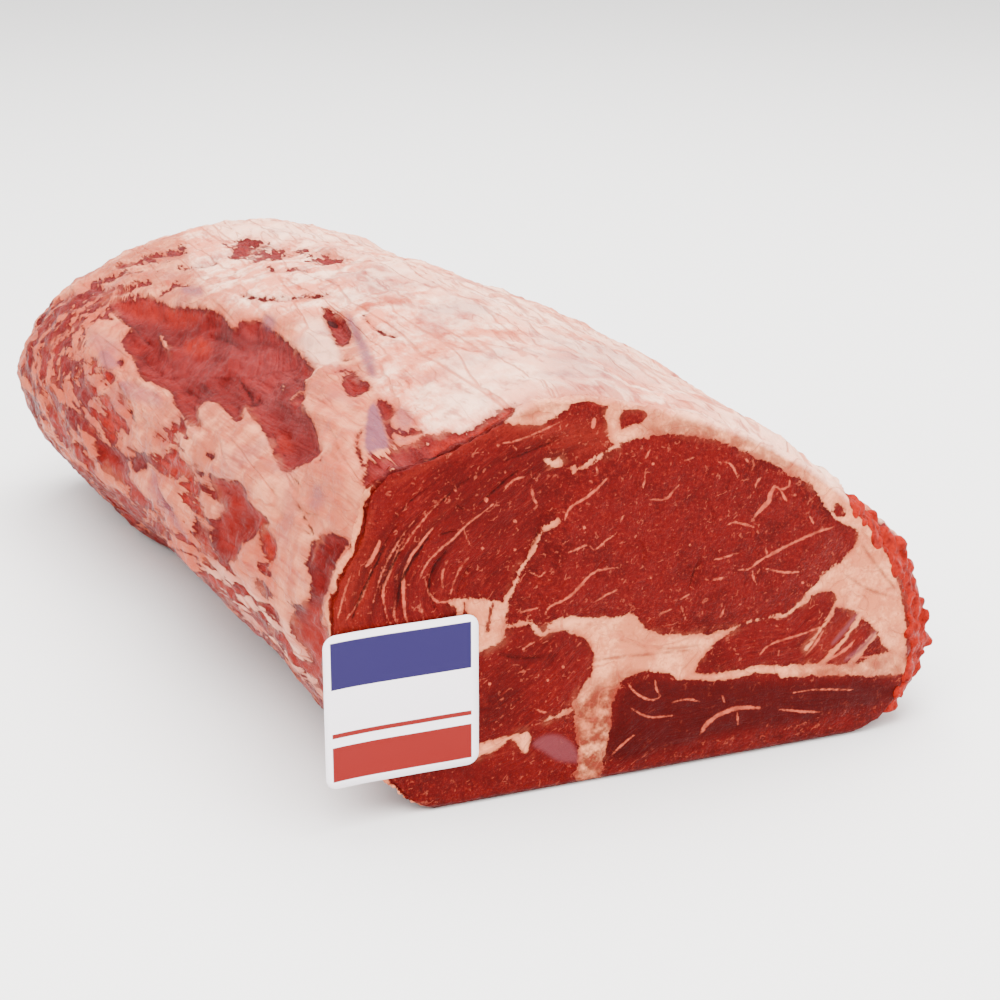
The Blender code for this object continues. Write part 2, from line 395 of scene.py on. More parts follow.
FACE_STROKES = (
    # the pale seam round the eye muscle
    *strokes(Layer.FAT, 4.0, (
        (580, 469, 600, 456, 616, 446, 628, 439), (574, 466, 573, 474))),
    Stroke(Layer.FAT, (541, 533, 535, 545, 528, 560, 520, 570, 512, 590), 3.5),
    Stroke(Layer.FAT, (512, 590, 505, 600, 503, 622), 7.0),
    Stroke(Layer.FAT, (
        505, 627, 515, 625, 528, 622, 534, 626, 541, 636, 548, 631, 556, 629, 575, 618), 4.5),
    Stroke(Layer.FAT, (545, 722, 565, 712, 575, 710), 4.0),
    Stroke(Layer.LEAN, (494, 602, 490, 615, 487, 630), 2.2),
    Stroke(Layer.LEAN, (465, 602, 464, 622), 3.0),
    # pale streaks of the left muscle
    *strokes(Layer.VEIN, 2.4, (
        (494, 504, 480, 515, 465, 527, 453, 540, 443, 548, 430, 560, 422, 572, 420, 578),
        (425, 578, 427, 588, 432, 598, 440, 604, 455, 600))),
    Stroke(Layer.VEIN, (434, 528, 420, 545, 410, 558, 404, 575, 403, 595, 405, 615, 408, 625), 3.6),
    *strokes(Layer.VEIN, 2.6, (
        (400, 545, 395, 560, 390, 575, 383, 590, 384, 605, 388, 620),
        (372, 570, 366, 590, 360, 603, 346, 620))),
    Stroke(Layer.VEIN, (464, 528, 467, 540, 472, 547), 2.0),
    *strokes(Layer.VEIN, 5.0, (
        (380, 541, 376, 552, 370, 563, 366, 567), (595, 418, 593, 428), (486, 498, 487, 502))),
    *strokes(Layer.VEIN, 2.2, (
        (503, 492, 508, 484, 518, 478, 527, 477), (497, 446, 503, 443, 520, 440, 540, 432, 560, 422),
        (512, 445, 517, 450))),
    Stroke(Layer.VEIN, (532, 488, 533, 497, 537, 504), 3.4),
    *strokes(Layer.VEIN, 3.5, (
        (481, 548, 484, 549), (514, 549, 516, 551), (454, 489, 457, 492), (504, 471, 506, 473),
        (513, 520, 516, 522))),
    # the eye muscle's marbling
    *strokes(Layer.VEIN, 3.0, (
        (565, 520, 568, 510, 575, 504, 586, 498, 596, 490, 608, 478),
        (545, 615, 550, 606, 562, 602, 575, 592, 583, 583, 590, 575, 600, 570, 620, 568),
        (738, 570, 750, 570, 757, 563, 766, 557, 790, 545, 800, 540, 815, 533, 835, 527),
        (650, 577, 652, 579), (689, 544, 691, 546))),
    *strokes(Layer.VEIN, 2.2, (
        (568, 553, 580, 548, 588, 545), (595, 551, 605, 542, 616, 534), (595, 602, 605, 596, 618, 590),
        (520, 613, 540, 608), (597, 466, 598, 475), (649, 500, 667, 500, 672, 492, 679, 485),
        (645, 460, 650, 450), (725, 462, 732, 464, 739, 479), (755, 490, 757, 482, 762, 477),
        (810, 516, 814, 524), (660, 614, 672, 609), (720, 618, 725, 608))),
    *strokes(Layer.VEIN, 2.0, (
        (530, 572, 540, 578, 545, 572), (643, 488, 646, 473), (685, 461, 695, 457), (745, 458, 750, 464),
        (766, 548, 768, 556), (753, 570, 753, 577, 757, 585), (714, 560, 740, 553), (712, 580, 728, 577),
        (620, 523, 624, 515), (681, 605, 686, 621), (680, 600, 690, 594))),
    Stroke(Layer.VEIN, (775, 486, 770, 495, 770, 502, 760, 510, 755, 517), 4.6),
    Stroke(Layer.VEIN, (775, 486, 783, 490, 790, 486, 790, 480), 2.6),
    *strokes(Layer.VEIN, 2.4, (
        (780, 489, 788, 503), (728, 525, 735, 522, 745, 524, 755, 528), (763, 568, 783, 573, 800, 572))),
    *strokes(Layer.VEIN, 3.6, (
        (652, 463, 654, 465), (794, 494, 796, 496), (802, 582, 804, 584))),
    Stroke(Layer.VEIN, (584, 527, 586, 529), 3.4),
    # round muscle
    *strokes(Layer.VEIN, 2.2, (
        (522, 650, 528, 645, 535, 642), (534, 709, 547, 713))),
    *strokes(Layer.VEIN, 3.4, (
        (489, 683, 491, 685), (562, 666, 564, 668))),
    *strokes(Layer.VEIN, 3.2, (
        (547, 680, 549, 681), (477, 694, 478, 697))),
    # wedge muscle
    Stroke(Layer.VEIN, (760, 655, 765, 648, 775, 642, 800, 635, 825, 625), 2.4),
    *strokes(Layer.VEIN, 3.0, (
        (805, 657, 818, 640, 823, 630), (828, 660, 848, 648, 855, 640))),
    Stroke(Layer.VEIN, (845, 658, 870, 657), 2.6),
    # bottom right muscle
    *strokes(Layer.VEIN, 2.6, (
        (628, 683, 632, 690, 640, 696, 650, 701, 660, 698), (737, 713, 738, 725))),
    *strokes(Layer.VEIN, 2.4, (
        (655, 680, 657, 690, 661, 697), (628, 706, 638, 713, 650, 718, 665, 717, 675, 715),
        (780, 710, 800, 712, 820, 712), (612, 755, 622, 745, 635, 735))),
    *strokes(Layer.VEIN, 2.2, (
        (672, 703, 680, 700, 690, 699, 700, 702), (793, 693, 815, 689, 845, 690, 855, 690),
        (722, 695, 725, 703))),
    Stroke(Layer.VEIN, (700, 735, 708, 722, 718, 715, 730, 710, 740, 707, 760, 708), 4.6, 0.8),
    # finer streaks of the left muscle, and its grooves, sunk and painted dark as their shade
    *strokes(Layer.VEIN, 1.8, (
        (415, 520, 398, 542, 382, 572, 373, 602), (470, 556, 456, 576, 450, 598),
        (420, 600, 424, 622, 430, 645), (395, 600, 394, 616, 398, 628)), 0.7),
    *strokes(Layer.VEIN, 1.6, (
        (442, 500, 420, 524, 403, 548, 392, 566), (448, 560, 441, 578, 444, 592)), 0.7),
    Stroke(Layer.VEIN, (352, 572, 344, 594, 338, 618), 2.0, 0.8),
    *strokes(Layer.SHADED_HOLLOW, 4.0, (
        (430, 538, 414, 560, 400, 584, 398, 610), (386, 545, 374, 570, 360, 600, 352, 622)), 0.8),
    *strokes(Layer.SHADED_HOLLOW, 3.6, (
        (405, 545, 391, 568, 380, 596), (447, 552, 434, 568, 428, 590, 436, 610)), 0.75),
    *strokes(Layer.SHADED_HOLLOW, 3.6, (
        (520, 470, 500, 486, 480, 505), (560, 440, 530, 452, 505, 462)), 0.65),
    Stroke(Layer.LEAN, LIP_RIM, 17.0),
    Stroke(Layer.GLOW, LIP_RIM, 20.0),
    # fat between the fingers of the wedge muscle
    Stroke(Layer.FAT, (837, 597, 831, 615, 817, 633, 806, 649), 3.0),
    Stroke(Layer.FAT, (864, 611, 849, 633, 831, 655, 820, 665), 5.4),
    Stroke(Layer.FAT, (880, 629, 864, 647, 849, 665), 6.0),
    Stroke(Layer.FILM, (858, 614, 846, 628, 832, 644), 3.4, 0.9),
    Stroke(Layer.FILM, (876, 632, 862, 648, 846, 660), 4.4, 0.9),
    # small cracks, sunk and painted dark as their shade
    Stroke(Layer.SHADED_HOLLOW, (700, 560, 694, 574, 690, 588), 3.0, 0.6),
    *strokes(Layer.SHADED_HOLLOW, 2.6, (
        (640, 540, 645, 550, 644, 562), (706, 500, 712, 510, 714, 520),
        (606, 560, 598, 568, 596, 578)), 0.5),
    # broad valleys painted in shade, and ridges between them with painted light
    Stroke(Layer.DEEP, (446, 512, 420, 540, 402, 568, 394, 612), 9.0, 0.85),
    Stroke(Layer.DEEP, (420, 516, 398, 544, 380, 582, 370, 620), 8.0, 0.85),
    Stroke(Layer.DEEP, (400, 512, 380, 540, 360, 580, 350, 615), 7.0, 0.75),
    Stroke(Layer.DEEP, (474, 520, 450, 545, 436, 566, 436, 590), 8.0, 0.75),
    *strokes(Layer.DEEP, 8.0, (
        (522, 458, 492, 478, 464, 503, 446, 520), (500, 655, 530, 660, 556, 656)), 0.7),
    Stroke(Layer.DEEP, (566, 432, 524, 450, 486, 468, 450, 492), 8.0, 0.6),
    Stroke(Layer.DEEP, (600, 438, 560, 452, 526, 474, 500, 500), 6.0, 0.55),
    Stroke(Layer.DEEP, (556, 540, 538, 562, 520, 590), 6.0, 0.5),
    Stroke(Layer.GLOW, (372, 512, 366, 535, 352, 562, 340, 590), 8.0, 0.7),
    Stroke(Layer.GLOW, (388, 486, 420, 470, 452, 452, 500, 430), 8.0, 0.55),
    Stroke(Layer.GLOW, (462, 498, 436, 520, 412, 548), 5.0, 0.5),
    # grooves, sunk and painted dark as their shade
    *strokes(Layer.SHADED_HOLLOW, 3.4, (
        (398, 524, 384, 545, 368, 574), (470, 478, 450, 494, 432, 512),
        (424, 490, 406, 506, 394, 520)), 0.6),
    Stroke(Layer.SHADED_HOLLOW, (474, 560, 462, 580, 458, 596), 3.0, 0.5),
    # thin folds in the fat, painted as darker orange lines for their shade
    *strokes(Layer.WARM, 3.0, (
        (590, 660, 640, 655, 690, 650), (846, 575, 868, 590, 890, 596),
        (862, 545, 880, 570, 896, 590)), 0.8),
    Stroke(Layer.WARM, (620, 640, 660, 650, 700, 645), 2.6, 0.7),
    # cracks and folds, sunk and painted dark as their shade
    *strokes(Layer.SHADED_HOLLOW, 3.0, (
        (500, 655, 520, 660, 545, 657), (541, 520, 536, 540, 524, 562)), 0.6),
    *strokes(Layer.SHADED_HOLLOW, 3.4, (
        (457, 506, 464, 510), (440, 536, 456, 532)), 0.7),
    *strokes(Layer.SHADED_HOLLOW, 2.0, (
        (856, 581, 870, 579, 885, 580), (890, 580, 897, 590, 899, 600, 897, 610)), 0.35),
    Stroke(Layer.SHADED_HOLLOW, (885, 605, 880, 620, 877, 630), 2.0, 0.3),
    Stroke(Layer.DEEP, (815, 487, 822, 500, 830, 515), 6.0, 0.9),
)

SIDE_PATCHES = (
    # third and lowest fat is the ground, and lean lies in it
    Patch(Layer.MIXED, (
        15, 330, 70, 290, 70, 340, 70, 400, 85, 440, 110, 480, 140, 520, 175, 560, 200, 600, 100, 560,
        10, 460), 8.0, 0.8),
    Patch(Layer.MIXED, (
        100, 480, 150, 490, 185, 510, 210, 545, 235, 570, 262, 600, 300, 640, 322, 680, 330, 720, 180, 640,
        110, 540), 8.0, 0.9),
    Patch(Layer.MIXED, (
        60, 300, 95, 272, 150, 248, 200, 238, 215, 255, 180, 275, 150, 296, 105, 305, 76, 325), 8.0, 0.62),
    Patch(Layer.MIXED, (
        215, 240, 250, 238, 300, 246, 345, 256, 352, 268, 320, 274, 270, 272, 230, 262), 5.0, 0.86),
    Patch(Layer.MIXED, (390, 428, 432, 428, 445, 446, 440, 470, 380, 478, 366, 470, 372, 456), 4.0, 0.8),
    # the big sunken lean
    *patches(Layer.LEAN, (
        (103, 301, 125, 300, 150, 297, 160, 301, 170, 308, 200, 308, 215, 310, 222, 315, 228, 323, 232, 330,
         238, 330, 240, 322, 252, 318, 260, 318, 262, 325, 275, 330, 285, 340, 293, 348, 307, 362, 316, 371,
         310, 375, 304, 382, 303, 398, 307, 410, 314, 425, 320, 445, 324, 455, 320, 463, 305, 466, 295, 468,
         287, 475, 278, 465, 272, 450, 263, 430, 250, 415, 245, 405, 240, 422, 232, 420, 222, 407, 210, 401,
         195, 405, 203, 430, 195, 428, 185, 418, 178, 408, 172, 392, 158, 385, 142, 380, 135, 362, 128, 353,
         122, 345, 125, 335, 136, 332, 125, 322, 112, 310),
        (88, 285, 95, 283, 103, 285, 105, 292, 98, 296, 92, 296), (176, 251, 184, 249, 184, 256, 177, 257))),
    # the notch near the cap
    *patches(Layer.LEAN, (
        (322, 316, 324, 306, 333, 311, 343, 316, 349, 325, 351, 336, 346, 345, 338, 345, 332, 337, 329, 325),
        (340, 378, 345, 375, 355, 375, 362, 383, 376, 391, 368, 394, 352, 399, 345, 393),
        (377, 402, 385, 403, 398, 410, 388, 420, 393, 430, 395, 440, 391, 449, 382, 420),
        (365, 457, 380, 460, 400, 457, 432, 448, 445, 452, 440, 467, 420, 470, 400, 470, 380, 475, 370, 478),
        (208, 452, 218, 454, 217, 459, 209, 458))),
    # ovals and strips of the left end
    *patches(Layer.LEAN, (
        (77, 362, 79, 362, 82, 375, 86, 385, 92, 388, 96, 384, 97, 390, 90, 400, 89, 408, 96, 415, 105, 416,
         98, 419, 88, 413, 82, 405, 74, 398, 71, 390, 75, 380, 76, 370),
        (89, 358, 96, 358, 97, 370, 92, 373, 88, 368), (98, 376, 108, 373, 116, 378, 102, 384, 95, 383),
        (100, 404, 108, 400, 112, 408, 114, 419, 122, 417, 131, 425, 125, 431, 118, 429, 118, 445, 112, 447,
         106, 432, 102, 420), (90, 401, 96, 402, 98, 410, 92, 412),
        (50, 404, 58, 412, 66, 425, 72, 440, 68, 449, 60, 440, 52, 428),
        (117, 359, 124, 360, 123, 368, 118, 366),
        (89, 431, 98, 433, 106, 443, 113, 448, 121, 447, 129, 457, 130, 468, 128, 476, 140, 490, 151, 500,
         158, 512, 166, 529, 158, 531, 149, 521, 138, 508, 128, 494, 116, 479, 106, 468, 97, 455, 91, 444),
        (131, 465, 134, 457, 140, 454, 145, 462, 142, 471, 135, 472),
        (155, 433, 165, 436, 172, 428, 177, 428, 175, 440, 162, 442),
        (158, 456, 170, 452, 176, 444, 180, 450, 176, 459, 180, 462, 192, 472, 197, 490, 190, 501, 183, 492,
         180, 480, 170, 479, 156, 478, 154, 468, 158, 463),
        (192, 516, 200, 518, 208, 536, 215, 556, 206, 556, 197, 538),
        (290, 614, 306, 611, 322, 611, 330, 640, 325, 660, 323, 680, 328, 692, 318, 697, 312, 681, 304, 664,
         299, 645, 292, 630))),
    # the lean blob on the lower side
    *patches(Layer.LEAN, (
        (208, 472, 222, 479, 240, 481, 247, 492, 250, 503, 262, 512, 272, 524, 262, 528, 255, 532, 248, 540,
         241, 548, 240, 560, 228, 562, 219, 558, 216, 543, 211, 530, 213, 520, 222, 510, 224, 503, 212, 499,
         209, 485),
        (259, 526, 266, 527, 272, 535, 277, 545, 275, 560, 268, 572, 269, 590, 274, 606, 267, 602, 262, 582,
         263, 560, 258, 545), (222, 578, 230, 582, 240, 595, 232, 597))),
    # lean along the edge of the cut
    *patches(Layer.LEAN, (
        (306, 548, 315, 541, 325, 532, 335, 533, 348, 538, 353, 545, 343, 552, 337, 560, 334, 572, 331, 585,
         326, 598, 322, 610, 320, 640, 312, 650, 305, 640, 290, 614, 308, 600, 313, 590, 308, 575),
        (362, 500, 367, 498, 372, 515, 376, 530, 378, 540, 368, 538, 366, 525, 362, 510),
        (369, 489, 378, 480, 388, 471, 396, 475, 430, 458, 460, 446, 500, 420, 505, 430, 470, 470, 399, 490,
         397, 498, 385, 494))),
    *patches(Layer.FAT, (
        (368, 500, 376, 500, 380, 515, 392, 523, 385, 533, 378, 538, 375, 520),
        (280, 515, 297, 505, 300, 520, 305, 535, 300, 550, 305, 565, 307, 580, 303, 595, 300, 605, 290, 607,
         280, 600, 273, 585, 275, 565, 282, 555, 280, 540), (200, 500, 222, 503, 215, 512))),
    # the crumbly lip beyond the right edge of the cut
    Patch(Layer.LEAN, (
        860, 505, 885, 515, 905, 542, 920, 565, 930, 590, 940, 615, 938, 655, 920, 668, 900, 655, 890, 600,
        870, 560, 855, 530)),
    # lean streaks in the cap
    *patches(Layer.LEAN, (
        (225, 255, 235, 248, 280, 248, 262, 254),
        (253, 258, 300, 258, 345, 258, 335, 263, 310, 268, 260, 268)), 2.0),
    # films
    *patches(Layer.FILM, (
        (182, 288, 205, 290, 204, 299, 184, 297), (262, 318, 275, 316, 278, 328, 265, 329)), 3.0, 0.8),
    Patch(Layer.FILM, (345, 314, 353, 318, 366, 338, 380, 376, 370, 382, 356, 345), 3.0, 0.9),
    Patch(Layer.FILM, (
        371, 404, 377, 405, 384, 428, 390, 448, 380, 453, 368, 457, 365, 445, 366, 425), 1.0),
    *patches(Layer.FILM, (
        (395, 410, 405, 408, 415, 420, 412, 428, 398, 430),
        (120, 380, 142, 385, 165, 398, 160, 408, 145, 405, 122, 395)), 3.0, 0.5),
    Patch(Layer.FILM, (372, 497, 400, 497, 400, 520, 374, 520), 4.0, 0.6),
    Patch(Layer.FILM, (315, 485, 325, 486, 323, 510, 313, 508), 3.0, 0.6),
    Patch(Layer.FILM, (97, 352, 110, 350, 120, 365, 112, 372, 103, 368), 3.0, 0.7),
    Patch(Layer.FILM, (145, 480, 170, 500, 175, 522, 160, 510), 4.0, 0.5),
    *patches(Layer.FILM, (
        (420, 318, 450, 316, 450, 335, 422, 336), (440, 298, 490, 300, 488, 322, 442, 322)), 10.0, 0.45),
    Patch(Layer.FILM, (545, 335, 600, 338, 640, 375, 640, 397, 550, 392), 14.0, 0.4),
    Patch(Layer.FILM, (350, 275, 410, 275, 400, 300, 355, 300), 12.0, 0.4),
    # where the fat is the pale cap, and where it is palest
    Patch(Layer.CAP, (
        190, 262, 180, 215, 300, 205, 520, 280, 700, 370, 960, 540, 930, 600, 860, 505, 700, 420, 560, 385,
        505, 418, 440, 447, 412, 425, 394, 402, 376, 385, 362, 350, 347, 312, 310, 318, 262, 318, 235, 308,
        205, 288), 8.0),
    Patch(Layer.PALE, (
        205, 222, 260, 215, 400, 240, 497, 285, 640, 350, 781, 430, 860, 500, 845, 500, 770, 450, 640, 378,
        560, 345, 480, 312, 400, 275, 352, 256, 290, 242, 215, 240), 9.0, 0.9),
    Patch(Layer.PALE, (460, 350, 560, 340, 640, 385, 560, 384, 505, 412, 455, 435, 440, 400), 12.0, 0.55),
    Patch(Layer.PALE, (300, 322, 322, 322, 340, 350, 340, 370, 316, 368, 300, 345), 4.0, 0.6),
    Patch(Layer.WARM, (385, 320, 470, 320, 520, 350, 470, 400, 430, 420, 400, 400, 372, 345), 16.0, 0.4),
    # pink bloom on dry lean
    Patch(Layer.BLOOM, (
        215, 335, 262, 330, 300, 362, 304, 400, 316, 440, 310, 465, 285, 460, 262, 410,
        235, 368), 14.0, 0.95),
    Patch(Layer.BLOOM, (160, 350, 205, 352, 225, 375, 190, 382, 160, 378, 140, 365), 8.0, 0.7),
    Patch(Layer.BLOOM, (112, 302, 165, 300, 170, 330, 140, 335), 8.0, 0.5),
    Patch(Layer.BLOOM, (20, 300, 110, 262, 215, 235, 352, 255, 340, 275, 110, 318, 60, 470), 10.0, 0.8),
    Patch(Layer.BLOOM, (110, 450, 130, 455, 150, 495, 168, 530, 150, 520, 120, 478), 5.0, 0.7),
    Patch(Layer.BLOOM, (338, 310, 352, 330, 348, 345, 334, 340), 4.0, 0.8),
    # ragged ground left of the slab and at the left end
    Patch(Layer.MIXED, (
        88, 350, 130, 380, 165, 400, 195, 440, 210, 480, 215, 540, 190, 520, 140, 470, 95, 420), 8.0, 0.55),
    Patch(Layer.MIXED, (
        22, 340, 60, 300, 104, 290, 112, 320, 84, 346, 92, 400, 110, 440, 70, 440, 40, 410), 8.0, 0.9),
    Patch(Layer.MIXED, (250, 545, 272, 560, 300, 600, 290, 612, 262, 590), 6.0, 0.5),
    Patch(Layer.FILM, (86, 330, 110, 335, 125, 350, 112, 362, 92, 350), 6.0, 0.45),
    # painted light: the fat of the lower band, which faces down, brightened
    Patch(Layer.PALE, (
        205, 560, 240, 575, 262, 600, 300, 640, 325, 680, 330, 720, 300, 700, 250, 650, 200, 600), 8.0, 0.7),
    Patch(Layer.GLOW, (206, 470, 245, 482, 262, 512, 250, 545, 228, 562, 212, 530), 5.0, 0.3),
    Patch(Layer.DEEP, (306, 560, 332, 548, 330, 575, 318, 606, 308, 600), 6.0, 0.5),
    Patch(Layer.GLOW, (104, 300, 150, 298, 205, 310, 190, 325, 140, 318), 5.0, 0.5),
    # pink to peach flushes
    Patch(Layer.WARM, (
        15, 330, 90, 270, 150, 300, 120, 420, 190, 520, 260, 600, 330, 640, 330, 730, 150, 640,
        10, 460), 14.0, 0.62),
    Patch(Layer.WARM, (306, 372, 340, 378, 366, 410, 366, 480, 345, 520, 300, 520, 305, 460), 12.0, 0.55),
    Patch(Layer.WARM, (860, 512, 905, 542, 940, 612, 930, 668, 900, 660, 880, 580), 5.0),
    Patch(Layer.WARM, (300, 520, 290, 610, 330, 640, 330, 720, 180, 640, 160, 540), 16.0, 0.5),
    # brighter torn lean, with painted highlights on the big sunken lean
    *patches(Layer.GLOW, (
        (180, 335, 205, 335, 205, 350, 182, 350),
        (245, 490, 262, 510, 282, 530, 284, 565, 262, 575, 256, 530)), 5.0, 0.7),
    *patches(Layer.GLOW, (
        (268, 425, 285, 428, 290, 446, 274, 450), (295, 610, 330, 610, 330, 700, 310, 690)), 5.0, 0.6),
    Patch(Layer.GLOW, (860, 505, 905, 542, 938, 600, 935, 660, 905, 660, 870, 560), 4.0),
    *patches(Layer.GLOW, (
        (88, 355, 100, 356, 120, 400, 132, 440, 100, 440, 92, 400),
        (150, 425, 180, 425, 200, 480, 205, 520, 188, 505, 155, 480)), 6.0, 0.9),
    Patch(Layer.GLOW, (44, 345, 60, 345, 56, 370, 48, 410, 40, 395), 5.0, 0.5),
    # painted light: the lower band, which faces down, brightened
    Patch(Layer.GLOW, (
        40, 400, 70, 430, 130, 480, 200, 540, 262, 600, 330, 650, 340, 735, 200, 645, 90, 540,
        30, 450), 10.0, 0.6),
    # painted shade along the upper edges of the big sunken lean, under the fat's rim, and darker zones lower
    # in it
    Patch(Layer.DEEP, (202, 330, 226, 326, 240, 336, 262, 338, 262, 346, 235, 345), 5.0, 0.7),
    Patch(Layer.DEEP, (120, 320, 150, 316, 168, 324, 196, 318, 200, 330, 160, 345, 135, 336), 7.0, 0.6),
    Patch(Layer.DEEP, (262, 395, 290, 398, 300, 440, 310, 455, 292, 462, 275, 440), 9.0, 0.55),
    *patches(Layer.DEEP, (
        (366, 482, 400, 462, 450, 444, 505, 414, 504, 440, 400, 498),
        (362, 500, 372, 505, 378, 540, 366, 535)), 3.0, 0.8),
    Patch(Layer.BLOOM, (372, 462, 405, 456, 425, 462, 404, 474, 378, 480), 4.0, 0.9),
    Patch(Layer.DEEP, (180, 375, 230, 372, 255, 395, 248, 410, 200, 400), 8.0, 0.5),
    # small pits, sunk and painted dark as their shade
    Patch(Layer.SHADED_HOLLOW, (325, 318, 336, 318, 335, 325, 326, 324), 2.0),
    Patch(Layer.SHADED_HOLLOW, (427, 450, 437, 450, 436, 458, 428, 457), 2.0, 0.9),
)

